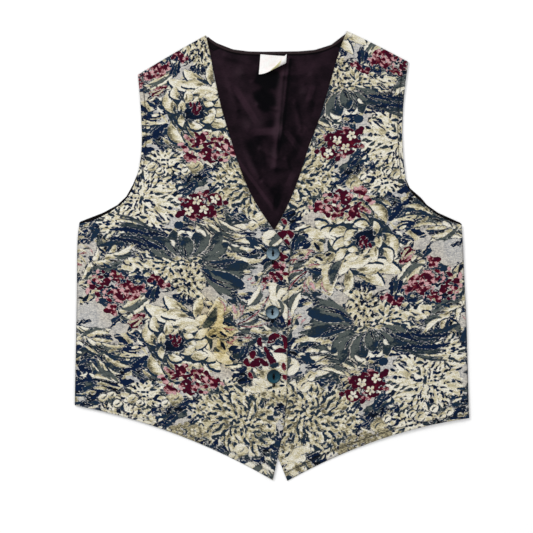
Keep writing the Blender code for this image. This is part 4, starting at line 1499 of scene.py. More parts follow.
def groove_and_edge_shade(sections, laps_over, position, across):
    """How much painted shade darkens the cloth in the stitch grooves and at the edges, 0 to 1."""
    distances = front_height(sections, laps_over, position, across)[3]
    armhole = line_shade(distances[0] - TURNING, 0.0009) * ease(SIDE_SEAM - position)
    hem = line_shade(distances[3] - HEM_TURNING, 0.001)
    side = line_shade(distances[0], 0.0012) * ease(position - SIDE_SEAM)
    edge = 0.5 * line_shade(np.minimum(distances[1], distances[3]), 0.0012)
    return np.clip(0.8 * armhole + hem + 0.7 * side + edge, 0, 1)


def patch_place(x, y, middle_x, middle_y, wide, high, turn):
    """Places in a turned patch, where 1 is its edge on either side."""
    cosine, sine = heading(turn)
    off_x, off_y = x - middle_x, y - middle_y
    return (off_x * cosine + off_y * sine) / wide, (off_y * cosine - off_x * sine) / high


def golden_patch(x, y):
    """How yellow the cloth is, from 0 to 1."""
    across, along = patch_place(x, y, *GOLDEN)
    return GOLDEN_STRENGTH * np.exp(-((across**2 + along**2) ** 2))


print("golden place", round(2 * GOLDEN[3] / MM), "mm long")

# %% [markdown]
# ### The two fronts
#
# Each front is a grid of points finer than a petal's stroke, just under the number of triangles
# that one piece may have. At the hems the photographed cloth shows no berries, so khaki
# petals take their place below one height.

# %% The two fronts
FRONT_ROWS = 436
FRONT_COLUMNS = 205
BERRY_END = -0.2015
KHAKI_TONE = 0.8


def print_values(y, s, t):
    """What the sheets hold at each point of a front, by name."""
    values = {yarn: read_sheet(sheet, s, t) for yarn, sheet in inside_of.items()}
    tone = read_sheet(tone_of, s, t)
    low = y < BERRY_END
    values["tone"] = np.where(low & (values["berry"] > -0.5), KHAKI_TONE, tone)
    values["petal"] = np.where(low, np.maximum(values["petal"], values["berry"]), values["petal"])
    values["berry"] = np.where(low, OUTSIDE, values["berry"])
    return values


def build_front(name, sections, laps_over):
    """The finished shell of one front, with its print."""
    rows = even_rows(sections, border_steps(FRONT_ROWS, 0.0009, 0.0022))
    position, across = np.meshgrid(rows, border_steps(FRONT_COLUMNS, 0.0014, 0.0034),
                                   indexing="ij")
    top = front_surface(sections, laps_over, position, across)
    made = cloth_shell(name, top, FRONT_WALL)
    places = np.array([v.co[:2] for v in made.data.vertices])
    places[:across.size] = top[..., :2].reshape(-1, 2)
    place = cloth_place(places[:, 0], places[:, 1], turned=not laps_over)
    s, t = place @ SIDEWAYS, place @ DOWN
    x, y = top[..., 0].ravel(), top[..., 1].ravel()
    for yarn, numbers in print_values(y, s[:x.size], t[:x.size]).items():
        carry(made, yarn, numbers, rest=OUTSIDE)
    carry(made, "wrong_side", np.zeros(x.size), rest=1.0)
    # Painted shade of the stitch grooves and the edges
    carry(made, "seam", groove_and_edge_shade(sections, laps_over, position, across))
    carry(made, "golden", golden_patch(x, y))
    carry(made, "fabric", np.stack([s, t, 0 * s], -1) * UNIT / MM, kind="vector")
    return made


front_right = build_front("front_right_cloth", RIGHT_FRONT, True)
front_left = build_front("front_left_cloth", LEFT_FRONT, False)
stand_in(front_right, "front_right", tapestry)
stand_in(front_left, "front_left", tapestry)

# %% [markdown]
# ## Plum cloths
#
# The back is plain plum cloth and its lining a plum satin, both nearly black. One function
# makes both finishes from the same weave. Its lighter shade comes up where the cloth leans
# towards the light, which each cloth's own points carry.


# %% Plum cloths
def plum_cloth(name, light, dark, float_length, row_height, rough, specular, strength):
    """A dark woven cloth on Object coordinates, in millimetres, lighter where it is lit."""
    made, tree, shader = new_material(name)
    place = node(tree, "ShaderNodeTexCoord").outputs["Object"]
    place = node(tree, "ShaderNodeMapping", {"Scale": [1 / MM] * 3, "Vector": place}).outputs[0]
    threads = woven(tree, place, float_length, row_height)
    cloudy = step_between(tree, noise(tree, place, 0.05, 3.0), 0.3, 0.7)
    varied = plus(tree, times(tree, cloudy, 0.25), times(tree, threads["Yarn"], 0.2))
    share = step_between(tree, plus(tree, varied, carried(tree, "lit")), -0.25, 1.0)
    feed(tree, shader, {
        "Base Color": mix(tree, share, dark, light), "Specular IOR Level": specular,
        "Roughness": spread(tree, threads["Second Yarn"], rough - 0.06, rough + 0.08),
        "Normal": raised(tree, threads["Height"], strength, 0.0002)})
    return made


back_finish = plum_cloth("plum_back_cloth", linear(44, 34, 36), linear(6, 5, 7),
                         1.2, 0.5, 0.62, 0.05, 0.4)
lining_finish = plum_cloth("plum_satin", linear(48, 31, 41), linear(2, 1, 4),
                           2.6, 0.32, 0.36, 0.04, 0.25)
print("plum cloths ready")

# %% [markdown]
# ## The back
#
# Only the back's turned neck edge shows, and thin lines of it past the underarms. A turned edge
# is a small roll, so a half round bead runs along the neck. The rest is plain, but the whole
# back is made, because the waistcoat is seen from its sides too.

# %% The back
BACK_FIRST_DROP = 0.032
BACK_LAST = len(BACK) - 1
NECK_ROLL = 0.0012
BACK_COLUMNS = 170
BACK_ROWS = (9, 150)
band = NECK_BAND / BACK_FIRST_DROP
back_rows = np.concatenate([
    np.linspace(0, band, BACK_ROWS[0]), np.linspace(band, BACK_LAST, BACK_ROWS[1])[1:-2],
    [BACK_LAST - 0.015, BACK_LAST]])


def build_back():
    """The back's shell, with the bead of its turned neck edge."""
    position, across = np.meshgrid(back_rows, border_steps(BACK_COLUMNS, 0.001, 0.0026),
                                   indexing="ij")
    x, y = back_plane(position, across)
    width = x[:, -1:] - x[:, :1]
    in_neck = ease((across - NECK_LEFT) / 0.01) * ease((NECK_RIGHT - across) / 0.01)
    bead = np.sqrt(np.clip(1 - (2 * position / band - 1) ** 2, 0, 1)) * in_neck
    to_hem = (BACK_LAST - position) * SECTION_DROP
    distances = (across * width, (1 - across) * width, to_hem)
    height = BACK_WALL + NECK_ROLL * bead + edge_profile(BACK_WALL, distances)
    made = cloth_shell("back_cloth", np.stack([x, y, height], -1), BACK_WALL)
    # Painted highlight on the rolled neck edge, and painted shade on the cloth below it
    carry(made, "lit", 0.25 + 0.35 * bead - 0.6 * ease((position / band - 0.7) / 0.3))
    return made


back = build_back()
stand_in(back, "back", back_finish)

# %% [markdown]
# ## Folds of the lining
#
# Inside the V neck lies a soft satin with an ease pleat down its middle. The fronts push it
# into folds that run down and to the sides. A cloth simulation would give folds somewhere, but
# not these, so each is a line with a height and a width. The first table is the solid's own.

# %% Folds of the lining
# start x, start y, end x, end y, height, width, and how much wider the left side is
FOLDS = [
    (0.0195, 0.256, 0.0156, 0.234, 0.0016, 0.004, 3.0),
    (0.0156, 0.234, 0.0056, 0.1157, 0.0024, 0.005, 3.0),
    (-0.061, 0.195, -0.048, 0.143, 0.002, 0.008, 1.0),
    (-0.048, 0.143, 0.0078, 0.0676, 0.0032, 0.008, 1.0),
    (-0.0273, 0.1664, 0.0091, 0.1528, 0.0022, 0.009, 1.0),
    (-0.0377, 0.234, -0.0065, 0.1768, 0.002, 0.009, 1.0),
    (0.0138, 0.1625, 0.0429, 0.13, 0.0022, 0.008, 1.0),
    (0.044, 0.21, 0.056, 0.187, 0.0018, 0.008, 1.0),
]
FINE_FOLDS = [
    (0.0225, 0.255, 0.012, 0.15, 0.0007, 0.0022, 1.0),
    (-0.06, 0.23, -0.045, 0.19, 0.0007, 0.003, 1.5),
    (-0.025, 0.225, -0.008, 0.205, 0.0008, 0.0035, 1.0),
    (-0.018, 0.196, 0.005, 0.19, 0.0008, 0.003, 1.0),
    (-0.04, 0.125, -0.018, 0.102, 0.0009, 0.003, 1.0),
    (-0.015, 0.138, 0.006, 0.126, 0.0008, 0.003, 1.0),
    (0.026, 0.242, 0.042, 0.225, 0.0007, 0.0035, 1.0),
    (0.03, 0.198, 0.038, 0.164, 0.0008, 0.0035, 1.0),
    (0.018, 0.125, 0.031, 0.098, 0.0008, 0.003, 1.0),
    (-0.012, 0.095, 0.006, 0.07, 0.0008, 0.003, 1.0),
    (0.052, 0.235, 0.064, 0.218, 0.0007, 0.004, 1.0),
    (-0.062, 0.26, -0.03, 0.25, 0.0005, 0.004, 1.0),
]
FOLD_CLEAR = (0.01, 0.022)


def lining_top(x, y):
    """Height of the lining's upper face. The folds fade out before they reach a front."""
    gap = np.minimum(x - np.interp(y, *RIGHT_EDGE), np.interp(y, *LEFT_EDGE) - x)
    near, full = FOLD_CLEAR
    folds = rise_along(FOLDS, x, y) + rise_along(FINE_FOLDS, x, y)
    return BACK_WALL + GAP + LINING_WALL + ease((gap - near) / (full - near)) * folds


print("folds:", len(FOLDS), "and finer ones:", len(FINE_FOLDS))

# %% [markdown]
# ### Light on the satin
#
# Satin is dark where it faces the camera and brightens where it leans to the light. The slopes
# of the folds give most of that painted light. Flat facets between sharp creases are too shallow
# to model, so they are placed as turned patches of painted light and shade, and two darker ones
# are the painted shadow below the label.

# %% Light on the satin
SLOPE_STEP = 0.0006
# x, y, half width, half height, turn, amount
SATIN_SHADES = [
    # The first two are painted shadow below the label's curled end
    (-0.005, 0.231, 0.015, 0.012, -20, -0.6), (-0.009, 0.203, 0.012, 0.015, 28, -0.5),
    (-0.033, 0.1945, 0.0042, 0.025, 32, 0.32), (-0.009, 0.1615, 0.017, 0.0048, 4, 0.45),
    (0.0265, 0.15, 0.004, 0.015, 38, 0.34), (0.05, 0.2115, 0.0038, 0.011, -20, 0.34),
    (0.0385, 0.163, 0.005, 0.007, -30, 0.3), (0.0243, 0.0995, 0.0042, 0.01, -25, 0.3),
    (-0.0231, 0.0952, 0.0024, 0.04, 36, 0.34), (0.011, 0.16, 0.003, 0.03, -8, -0.3),
    (-0.02, 0.134, 0.011, 0.02, 14, -0.25), (-0.06, 0.243, 0.02, 0.011, -14, 0.18),
    (0.042, 0.249, 0.016, 0.011, 24, 0.16), (-0.06, 0.125, 0.006, 0.04, 25, -0.2),
    (-0.048, 0.215, 0.006, 0.02, 52, 0.22), (0.005, 0.083, 0.008, 0.012, -34, -0.18),
]


def lining_light(x, y):
    """How far the satin turns to the light at the upper left, with its facets."""
    step = SLOPE_STEP
    slope_x = (lining_top(x + step, y) - lining_top(x - step, y)) / (2 * step)
    slope_y = (lining_top(x, y + step) - lining_top(x, y - step)) / (2 * step)
    lit = -0.03 + 0.9 * (slope_x - slope_y)
    for *patch, amount in SATIN_SHADES:
        across, along = patch_place(x, y, *patch)
        lit = lit + amount * np.exp(-(across**6) - along**6)
    return lit


print("facets of the satin:", len(SATIN_SHADES))

# %% [markdown]
# ## The lining
#
# The lining is cut a little smaller than the back and sewn just under the neck edge. Its shell
# follows the back's own places, drawn in from the edges. It is fine only inside the V neck,
# because a front covers the rest.

# %% The lining
UNDERARM_ROW = 6.5
UNDERARM_SHARE = 0.3
NECK_CORNER = 0.88
LINING_ROWS = (250, 26)
LINING_COLUMNS = (14, 160, 14)
LINING_MIDDLE = (0.24, 0.8)
VISIBLE_TO = 8.3
SEAM_SHADOW = 0.7


def lining_plane(position, across):
    """A place of the lining: the back's own place, drawn in from the nearest edge."""
    left, _ = back_plane(position, np.zeros_like(position))
    right, _ = back_plane(position, np.ones_like(position))
    inset = LINING_INSET / (right - left)
    x, y = back_plane(position, inset + (1 - 2 * inset) * across)
    aside = np.abs(2 * (across - NECK_LEFT) / (NECK_RIGHT - NECK_LEFT) - 1)
    neck_gap = NECK_BAND + GAP
    corner = ease((aside - NECK_CORNER) / (1 - NECK_CORNER))
    neck_gap = neck_gap + (LINING_INSET - neck_gap) * corner
    y = y - neck_gap * ease(1 - position)
    side = ease(1 - np.minimum(across, 1 - across) / UNDERARM_SHARE)
    y = y - LINING_INSET * side * ease(2 - np.abs(position - UNDERARM_ROW))
    return x, y + LINING_INSET * ease(position - (BACK_LAST - 1))


def build_lining():
    """The lining's shell, finest inside the V neck."""
    rows = np.concatenate([np.linspace(0, VISIBLE_TO, LINING_ROWS[0]),
                           np.linspace(VISIBLE_TO, BACK_LAST, LINING_ROWS[1])[1:]])
    columns = np.concatenate([
        np.linspace(0, LINING_MIDDLE[0], LINING_COLUMNS[0])[:-1],
        np.linspace(*LINING_MIDDLE, LINING_COLUMNS[1]),
        np.linspace(LINING_MIDDLE[1], 1, LINING_COLUMNS[2])[1:],
    ])
    position, across = np.meshgrid(rows, columns, indexing="ij")
    x, y = lining_plane(position, across)
    top = np.stack([x, y, lining_top(x, y)], -1)
    made = cloth_shell("lining_cloth", top, LINING_WALL, step=2)
    carry(made, "lit", lining_light(x, y) - SEAM_SHADOW * ease(1 - position / 0.05))
    return made


lining = build_lining()
stand_in(lining, "back_lining", lining_finish)

# %% [markdown]
# ## Label
#
# A blank woven tape is caught in the neck seam. It has the same weave as the other cloths, only
# finer, with a faint pink cloud and a khaki shade where its end turns up.

# %% Label cloth
label_finish, tree, shader = new_material("pale_tape")
place = carried(tree, "tape", "Vector")
threads = woven(tree, place, 0.9, 0.35)
colour = mix(tree, threads["Yarn"], linear(244, 244, 243), linear(232, 232, 230))
pink = times(tree, step_between(tree, noise(tree, place, 0.12, 3.0), 0.35, 0.7), 0.45)
colour = mix(tree, pink, colour, linear(240, 220, 218))
khaki_end = step_between(tree, carried(tree, "near_end"), 0.5, 0.9)
feed(tree, shader, {"Base Color": mix(tree, khaki_end, colour, linear(206, 200, 150)),
                    "Roughness": 0.6, "Normal": raised(tree, threads["Height"], 0.4, 0.0001)})
print("label cloth ready")

# %% [markdown]
# ### Shape of the label
#
# The tape lies flat at the seam, and its free end curls up and over, sooner and tighter on the
# right. That is a strip rolled round a cone, so each point is found from how far along the
# strip it is. A Solidify modifier then gives the thin sheet its wall.

# %% Shape of the label
LABEL_WIDTH = 0.034
LABEL_LENGTH = 0.027
LABEL_TOP = (-0.015, 0.2618)
LABEL_TURN = -4.5
LABEL_FLAT = (0.02, 0.005)
LABEL_ROLL = (0.01, 0.0045)
LABEL_ROLLED = math.radians(200)
LABEL_REST = 0.006
LABEL_THICKNESS = 0.0006
LABEL_DIVISIONS = (36, 80)


def label_plane(down, across):
    """Place of the tape along its roll, before it is laid on the lining."""
    radius = LABEL_ROLL[0] + (LABEL_ROLL[1] - LABEL_ROLL[0]) * across
    flat = LABEL_FLAT[0] + (LABEL_FLAT[1] - LABEL_FLAT[0]) * across
    along = LABEL_LENGTH * down
    turn = np.clip(np.maximum(along - flat, 0) / radius, 0, LABEL_ROLLED)
    straight = np.maximum(along - flat - radius * turn, 0)
    reach = np.minimum(along, flat) + radius * np.sin(turn) + straight * np.cos(turn)
    rise = radius * (1 - np.cos(turn)) + straight * np.sin(turn)
    cosine, sine = heading(LABEL_TURN)
    x, y = LABEL_WIDTH * across, -reach
    return (LABEL_TOP[0] + x * cosine - y * sine, LABEL_TOP[1] + x * sine + y * cosine, rise)


def label_place(down, across, lift=0.0):
    """Places of the tape where it rests on the highest folds near it."""
    x, y, rise = label_plane(down, across)
    steps = (-LABEL_REST, 0.0, LABEL_REST)
    seat = np.max([lining_top(x + dx, y + dy) for dx in steps for dy in steps], axis=0)
    return np.stack([x, y, seat + GAP + rise + lift], -1)


def build_label():
    """The tape as a thin closed sheet."""
    columns, rows = LABEL_DIVISIONS
    down, across = np.meshgrid(np.linspace(0, 1, rows + 1), np.linspace(0, 1, columns + 1),
                               indexing="ij")
    number = np.arange(down.size).reshape(down.shape)
    mesh = bpy.data.meshes.new("label_tape")
    mesh.from_pydata(label_place(down, across).reshape(-1, 3).tolist(), [],
                     squares(number).reshape(-1, 4).tolist())
    mesh.shade_smooth()
    made = new_object("label_tape", mesh)
    tape = np.stack([across * LABEL_WIDTH, down * LABEL_LENGTH, 0 * down], -1) / MM
    carry(made, "tape", tape, kind="vector")
    carry(made, "near_end", down * ease((across - 0.25) / 0.3) * ease((1.0 - across) / 0.3))
    thick = made.modifiers.new("Wall", "SOLIDIFY")
    thick.thickness = LABEL_THICKNESS
    thick.offset = 1.0
    return made


label = build_label()
stand_in(label, "label", label_finish)

# %% [markdown]
# ## Buttons
#
# The buttons are pearly plastic, two slate and one deep teal. Such plastic is cloudy, with faint
# turning marks. Each button also has painted light on one side, which is on its points as a
# value, and painted shade round its rim. The recess at its middle is painted nearly black as
# shade, because no light gets out of it.


# %% Button finish
def button_finish(name, light, dark):
    """Pearly plastic: a cloudy blue with faint turning rings, painted light on one side, painted
    shade round the rim, and a near-black eye of painted shade.
    """
    made, tree, shader = new_material(name)
    place = node(tree, "ShaderNodeTexCoord").outputs["Object"]
    cloudy = step_between(tree, noise(tree, place, 320, 3.0), 0.3, 0.7)
    radius = carried(tree, "from_middle")
    ring = math_node(tree, "SINE", times(tree, radius, 34.0))
    share = plus(tree, times(tree, cloudy, 0.25), times(tree, ring, 0.06))
    body = mix(tree, plus(tree, share, carried(tree, "painted_light")), dark, light)
    # Painted shade darkens the rim of the button
    edge = step_between(tree, radius, 0.86, 0.98)
    body = mix(tree, edge, body, mix(tree, 0.6, dark, linear(8, 14, 20)))
    # Painted shade makes the recess nearly black
    eye = step_between(tree, carried(tree, "in_eye"), 0.2, 0.6)
    feed(tree, shader, {"Base Color": mix(tree, eye, body, linear(3, 3, 5)),
                        "Roughness": spread(tree, cloudy, 0.26, 0.4),
                        "Specular IOR Level": 0.15, "Normal": raised(tree, ring, 0.12, 0.0001)})
    return made


slate_finish = button_finish("slate_teal_button", linear(132, 154, 166), linear(18, 42, 58))
deep_finish = button_finish("deep_teal_button", linear(18, 66, 80), linear(2, 30, 42))
print("button finishes ready")

# %% [markdown]
# ### Turn a disc
#
# A button is turned on a lathe, so its shape is one profile spun round its middle. The same is
# done here ring by ring, which keeps the disc closed at both poles.

# %% Turn a disc
BUTTONS = [(0.0013, 0.0034), (0.0005, -0.0729), (0.0023, -0.1563)]
BUTTON_RADIUS = 0.009
BUTTON_HEIGHT = 0.0034
BUTTON_SEAT = SEAT + (FRONT_WALL + GAP) + FRONT_WALL + GAP
BUTTON_TURNS = 64
DISH_SHARE = 0.66
# Share of the radius and share of the height, from the middle over the rim to the back
PROFILE = [(0.0, 0.66), (0.25, 0.665), (0.55, 0.7), (0.7, 0.8), (0.78, 0.96), (0.83, 1.0),
           (0.89, 0.99), (0.95, 0.9), (0.99, 0.72), (1.0, 0.52), (0.97, 0.32), (0.9, 0.14),
           (0.75, 0.03), (0.6, 0.0), (0.0, 0.0)]


def turned_disc(name, place):
    """A disc turned from the profile, with its back on the cloth."""
    mesh = bmesh.new()
    turns = np.linspace(0, 2 * math.pi, BUTTON_TURNS, endpoint=False)
    rings = []
    for radius, height in PROFILE:
        z = place[2] + height * BUTTON_HEIGHT
        rings.append([mesh.verts.new((place[0] + radius * BUTTON_RADIUS * math.cos(t),
                                      place[1] + radius * BUTTON_RADIUS * math.sin(t), z))
                      for t in (turns if radius else turns[:1])])
    for upper, lower in zip(rings, rings[1:]):
        for k in range(BUTTON_TURNS):
            after = (k + 1) % BUTTON_TURNS
            corners = [upper[k % len(upper)], lower[k % len(lower)],
                       lower[after % len(lower)], upper[after % len(upper)]]
            mesh.faces.new(list(dict.fromkeys(corners)))
    bmesh.ops.recalc_face_normals(mesh, faces=mesh.faces)
    data = bpy.data.meshes.new(name)
    mesh.to_mesh(data)
    mesh.free()
    return new_object(name, data)


print("a button is", round(2 * BUTTON_RADIUS / MM), "mm wide")

# %% [markdown]
# ### Cut the recess and the holes
#
# The maker mills a pointed recess and drills two holes in it. A ball pressed long and thin
# cuts the recess, and two rods cut the holes. A Boolean modifier does the cutting, and the
# result is taken as a plain mesh before the modifier goes.


# %% Cut the recess and the holes
def make_plain(piece):
    """Turns what a piece's modifiers give into its plain mesh, and takes them off."""
    evaluated = piece.evaluated_get(bpy.context.evaluated_depsgraph_get())
    plain = bpy.data.meshes.new_from_object(evaluated)
    piece.modifiers.clear()
    piece.data = plain


def cut_away(piece, place, scale, kind):
    """Cuts a ball or a rod of the given half sizes out of a piece."""
    tool_mesh = bmesh.new()
    if kind == "ball":
        bmesh.ops.create_uvsphere(tool_mesh, u_segments=32, v_segments=16, radius=1.0)
    else:
        bmesh.ops.create_cone(tool_mesh, cap_ends=True, segments=20, radius1=1, radius2=1, depth=2)
    for vert in tool_mesh.verts:
        vert.co = [middle + half * value for middle, half, value in zip(place, scale, vert.co)]
    data = bpy.data.meshes.new("tool")
    tool_mesh.to_mesh(data)
    tool_mesh.free()
    tool = new_object("tool", data)
    cut = piece.modifiers.new("Cut", "BOOLEAN")
    cut.operation = "DIFFERENCE"
    cut.object = tool
    make_plain(piece)
    bpy.data.objects.remove(tool)


EYE_HALF = (0.0014, 0.0026, 0.0011)
EYE_DEPTH = 0.0006
EYE_LIFT = 0.0001
HOLE_SPACING = 0.0026
HOLE_HALF_SIZES = (0.0007, 0.0007, 0.006)
# Which way painted light brightens each button: its share to the right for every share down the
# picture
PAINTED_LIGHT_LEAN = (-0.3, 0.5, 0.2)
for number, (x, y) in enumerate(BUTTONS, start=1):
    button = turned_disc(f"button_{number}_disc", (x, y, BUTTON_SEAT))
    face = BUTTON_SEAT + DISH_SHARE * BUTTON_HEIGHT
    cut_away(button, (x, y, face + EYE_LIFT), EYE_HALF, "ball")
    for end in (-1, 1):
        cut_away(button, (x, y + end * HOLE_SPACING / 2, face), HOLE_HALF_SIZES, "rod")
    button.data.shade_smooth()
    button.data.set_sharp_from_angle(angle=math.radians(38))
    places = np.array([v.co[:] for v in button.data.vertices]) - (x, y, face)
    carry(button, "from_middle", np.hypot(places[:, 0], places[:, 1]) / BUTTON_RADIUS)
    painted_light = (PAINTED_LIGHT_LEAN[number - 1] * places[:, 0] - places[:, 1]) / BUTTON_RADIUS
    carry(button, "painted_light", 0.35 + 0.6 * painted_light)
    in_eye = np.hypot(places[:, 0] / EYE_HALF[0], places[:, 1] / EYE_HALF[1]) < 1.02
    carry(button, "in_eye", in_eye & (places[:, 2] < EYE_DEPTH))
    button.data.materials.clear()
    stand_in(button, f"button_{number}", deep_finish if number == 3 else slate_finish)


# %% [markdown]
# ## Sewing
#
# On the real waistcoat a machine runs a row of stitches beside the armholes and above the hem,
# which keeps the turned edge flat. Buttonholes are edged with close stitches, and black thread
# holds the buttons. Each row here is a path over the cloth. A Geometry Nodes group sets one
# stitch at every step of it, so the spacing, length and thread can be changed in one place.

# %% Stitch group
stitch_group, given, result = new_group(
    "GeometryNodeTree", "stitch_row",
    {"Path": "Geometry", "Spacing": "Float", "Stitch Length": "Float", "Thread Radius": "Float",
     "Turn": "Float", "Wobble": "Float", "Seed": "Int", "Thread": "Material"},
    {"Stitches": "Geometry"})

line = node(stitch_group, "GeometryNodeMeshToCurve", {"Mesh": given["Path"]})
stepped = node(stitch_group, "GeometryNodeResampleCurve",
               {"Curve": line.outputs[0], "Length": given["Spacing"]}, mode="LENGTH")

STITCH_SIDES, STITCH_RINGS = 8, 5
ball = node(stitch_group, "GeometryNodeMeshUVSphere",
            {"Segments": STITCH_SIDES, "Rings": STITCH_RINGS, "Radius": 1.0})
size = node(stitch_group, "ShaderNodeCombineXYZ",
            {"X": times(stitch_group, given["Stitch Length"], 0.5),
             "Y": given["Thread Radius"], "Z": given["Thread Radius"]})
stitch = node(stitch_group, "GeometryNodeTransform",
              {"Geometry": ball.outputs["Mesh"], "Scale": size.outputs[0]})
print("one stitch has", STITCH_SIDES * (STITCH_RINGS - 1) + 2, "points")

# %% [markdown]
# Each stitch turns to follow the path, plus a fixed turn and a small random one, because no
# seam is quite even. Then all of them become one real mesh with the thread's material.


# %% Turn, place and finish the stitches
def number_sockets(sockets):
    """The sockets in use that hold a plain number."""
    return [socket for socket in sockets if socket.type == "VALUE" and socket.enabled]


chance = node(stitch_group, "FunctionNodeRandomValue", {"Seed": given["Seed"]}, data_type="FLOAT")
low, high = number_sockets(chance.inputs)[:2]
stitch_group.links.new(times(stitch_group, given["Wobble"], -1.0), low)
stitch_group.links.new(given["Wobble"], high)
angle = plus(stitch_group, given["Turn"], number_sockets(chance.outputs)[0])

tangent = node(stitch_group, "GeometryNodeInputTangent")
aligned = node(stitch_group, "FunctionNodeAlignRotationToVector", {"Vector": tangent.outputs[0]},
               axis="X", pivot_axis="Z")
euler = node(stitch_group, "ShaderNodeCombineXYZ", {"Z": angle})
turned = node(stitch_group, "FunctionNodeEulerToRotation", {0: euler.outputs[0]})
rotated = node(stitch_group, "FunctionNodeRotateRotation",
               {"Rotation": aligned.outputs[0], "Rotate By": turned.outputs[0]},
               rotation_space="LOCAL")
placed = node(stitch_group, "GeometryNodeInstanceOnPoints",
              {"Points": stepped.outputs[0], "Instance": stitch.outputs[0],
               "Rotation": rotated.outputs[0]})
smooth = node(stitch_group, "GeometryNodeSetShadeSmooth", {0: placed.outputs[0]})
real = node(stitch_group, "GeometryNodeRealizeInstances", {0: smooth.outputs[0]})
threaded = node(stitch_group, "GeometryNodeSetMaterial",
                {"Geometry": real.outputs[0], "Material": given["Thread"]})
feed(stitch_group, result, {"Stitches": threaded.outputs[0]})
print("stitch group:", len(stitch_group.nodes), "nodes")

# %% [markdown]
# ### Threads
#
# Sewing thread is two or three plies twisted together. Slanting bands of two shades show
# the twist, and a fine noise stands for fluff. The same function makes the navy, the near-black
# and the pale thread.


# %% Threads
def thread_finish(name, light, dark, specular=0.1):
    """Twisted thread: two shades in slanting turns, with a little fluff."""
    made, tree, shader = new_material(name)
    place = node(tree, "ShaderNodeTexCoord").outputs["Object"]
    twist = node(tree, "ShaderNodeTexWave", {"Scale": 700, "Distortion": 1.5, "Vector": place},
                 wave_type="BANDS", bands_direction="DIAGONAL").outputs["Fac"]
    share = plus(tree, times(tree, twist, 0.6), times(tree, noise(tree, place, 2500), 0.4))
    feed(tree, shader, {"Base Color": mix(tree, share, dark, light), "Roughness": 0.75,
                        "Specular IOR Level": specular,
                        "Normal": raised(tree, twist, 0.4, 0.00005)})
    return made


topstitch_thread = thread_finish("navy_thread", linear(44, 48, 56), linear(14, 17, 24))
buttonhole_thread = thread_finish("near_black_thread", linear(14, 14, 17), linear(2, 2, 3), 0.02)
tape_thread = thread_finish("pale_thread", linear(236, 234, 228), linear(190, 188, 182))
print("threads ready")

# %% [markdown]
# ### Sew a row
#
# A row of stitches starts as bare points joined by edges. The stitch group runs on it as a
# modifier, whose inputs are set by their identifiers. The result becomes one plain mesh.


# %% Sew a row
def sew(name, paths, spacing, length, radius, thread, turn=0.0, wobble=0.06, seed=1):
    """Stitches along one or more paths, turned into one plain mesh."""
    points, edges = [], []
    for path in paths:
        first = len(points)
        points += path.tolist()
        edges += [(first + k, first + k + 1) for k in range(len(path) - 1)]
    mesh = bpy.data.meshes.new(name)
    mesh.from_pydata(points, edges, [])
    piece = new_object(name, mesh)
    rows = piece.modifiers.new("Stitches", "NODES")
    rows.node_group = stitch_group
    values = {"Spacing": spacing, "Stitch Length": length, "Thread Radius": radius, "Turn": turn,
              "Wobble": wobble, "Seed": seed, "Thread": thread}
    for item in stitch_group.interface.items_tree:
        if item.name in values:
            rows[item.identifier] = values[item.name]
    make_plain(piece)
    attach(piece, "root")
    print(name, count(piece), "triangles")
    return piece


TOPSTITCH = {"spacing": 0.003, "length": 0.0024, "radius": 0.00028, "thread": topstitch_thread}
TOPSTITCH_LIFT = 0.5 * TOPSTITCH["radius"]
print("topstitches per 10 cm:", round(0.1 / TOPSTITCH["spacing"]))

# %% [markdown]
# ### Rows beside the armholes and above the hems
#
# Each row runs in the groove that the front's surface already has, so its points are read from
# that surface. The left front also shows a short row beside its front edge, near the hem.

# %% Rows beside the armholes and above the hems
HEM_ROW = len(RIGHT_FRONT) - 1 - HEM_TURNING / (LOWER_STRETCH * SECTION_DROP)


def row_over(sections, laps_over, position, across):
    """A line of thread over a front."""
    path = front_surface(sections, laps_over, position, across)
    return path + (0, 0, TOPSTITCH_LIFT)


def main_rows(sections, laps_over):
    """The rows beside the armhole and above the hem."""
    position = np.linspace(0.12, 7.9, 160)
    _, _, width = front_plane(sections, position, np.zeros_like(position))
    return [row_over(sections, laps_over, position, TURNING / width),
            row_over(sections, laps_over, np.full(160, HEM_ROW), np.linspace(0.02, 0.98, 160))]


edge = np.linspace(14.9, 15.9, 40)
_, _, edge_width = front_plane(LEFT_FRONT, edge, np.zeros_like(edge))
edge_row = row_over(LEFT_FRONT, False, edge, 1 - 0.0026 / edge_width)
right_rows = sew("right_front_topstitching", main_rows(RIGHT_FRONT, True), seed=3, **TOPSTITCH)
left_rows = sew("left_front_topstitching", [*main_rows(LEFT_FRONT, False), edge_row],
                seed=4, **TOPSTITCH)


# %% [markdown]
# ### Buttonholes
#
# Each buttonhole stands upright below its button, and its sewn end shows under the button's
# lower rim. The close stitches lie across the edge of the slit all the way round, so the same
# group is used with a quarter turn.

# %% Buttonholes
HOLE_TOP = 0.0085
HOLE_BOTTOM = 0.0134
HOLE_HALF = 0.001


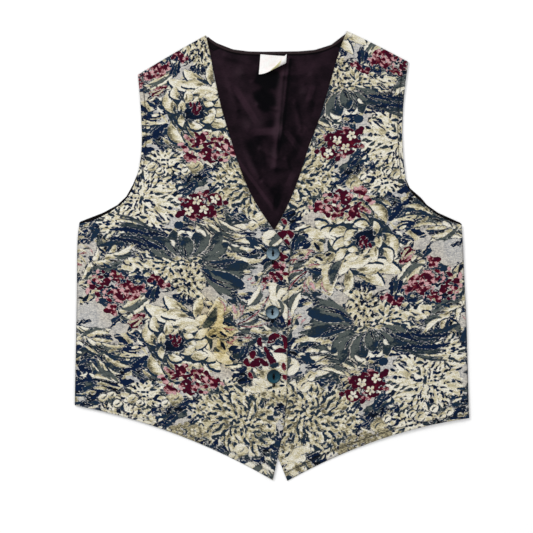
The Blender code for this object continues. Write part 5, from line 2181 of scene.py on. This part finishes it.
def right_front_top(x, y):
    """Height of the right front's upper face at any place near the buttons."""
    position = np.linspace(9.0, 15.5, 500)
    across = np.linspace(0.8, 0.999, 60)
    grid_position, grid_across = np.meshgrid(position, across, indexing="ij")
    surface = front_surface(RIGHT_FRONT, True, grid_position, grid_across).reshape(-1, 3)
    return np.array([surface[np.argmin(np.hypot(surface[:, 0] - px, surface[:, 1] - py)), 2]
                     for px, py in zip(x, y)])


def buttonhole_path(x, y):
    """A closed line round the slit, with round ends."""
    turn = np.linspace(-math.pi / 2, 3 * math.pi / 2, 49)
    middle = np.where(np.sin(turn) > 0, y + HOLE_TOP - HOLE_HALF, y - HOLE_BOTTOM + HOLE_HALF)
    line_x, line_y = x + HOLE_HALF * np.cos(turn), middle + HOLE_HALF * np.sin(turn)
    return np.stack([line_x, line_y, right_front_top(line_x, line_y)], -1)


buttonholes = sew("buttonhole_stitching", [buttonhole_path(x, y) for x, y in BUTTONS],
                  0.00046, 0.0022, 0.00027, buttonhole_thread,
                  turn=math.pi / 2, wobble=0.12, seed=5)


# %% [markdown]
# ### Button thread and label stitches
#
# Strands of dark thread run from hole to hole over the bridge in the recess. The label is held
# by one short row under the neck seam.

# %% Button thread and label stitches
THREAD_SINK = 0.0004
THREAD_STEPS = (-0.0008, 0.0, 0.0008)
LABEL_SEAM = 0.045


def thread_path(x, y):
    """A short line across the recess of a button. The strands lie across it."""
    height = BUTTON_SEAT + DISH_SHARE * BUTTON_HEIGHT - THREAD_SINK
    return np.array([(x + step, y, height) for step in THREAD_STEPS])


button_thread = sew("button_thread", [thread_path(x, y) for x, y in BUTTONS],
                    0.00052, 0.0042, 0.00036, buttonhole_thread,
                    turn=math.pi / 2, wobble=0.03, seed=6)
label_row = label_place(np.full(40, LABEL_SEAM), np.linspace(0.04, 0.96, 40), LABEL_THICKNESS)
label_stitches = sew("label_stitches", [label_row], 0.0026, 0.0018, 0.00016, tape_thread, seed=7)

# %% [markdown]
# ## The finished scene
#
# Every cloth, button, label and row of stitches is now built.

print("scene built")
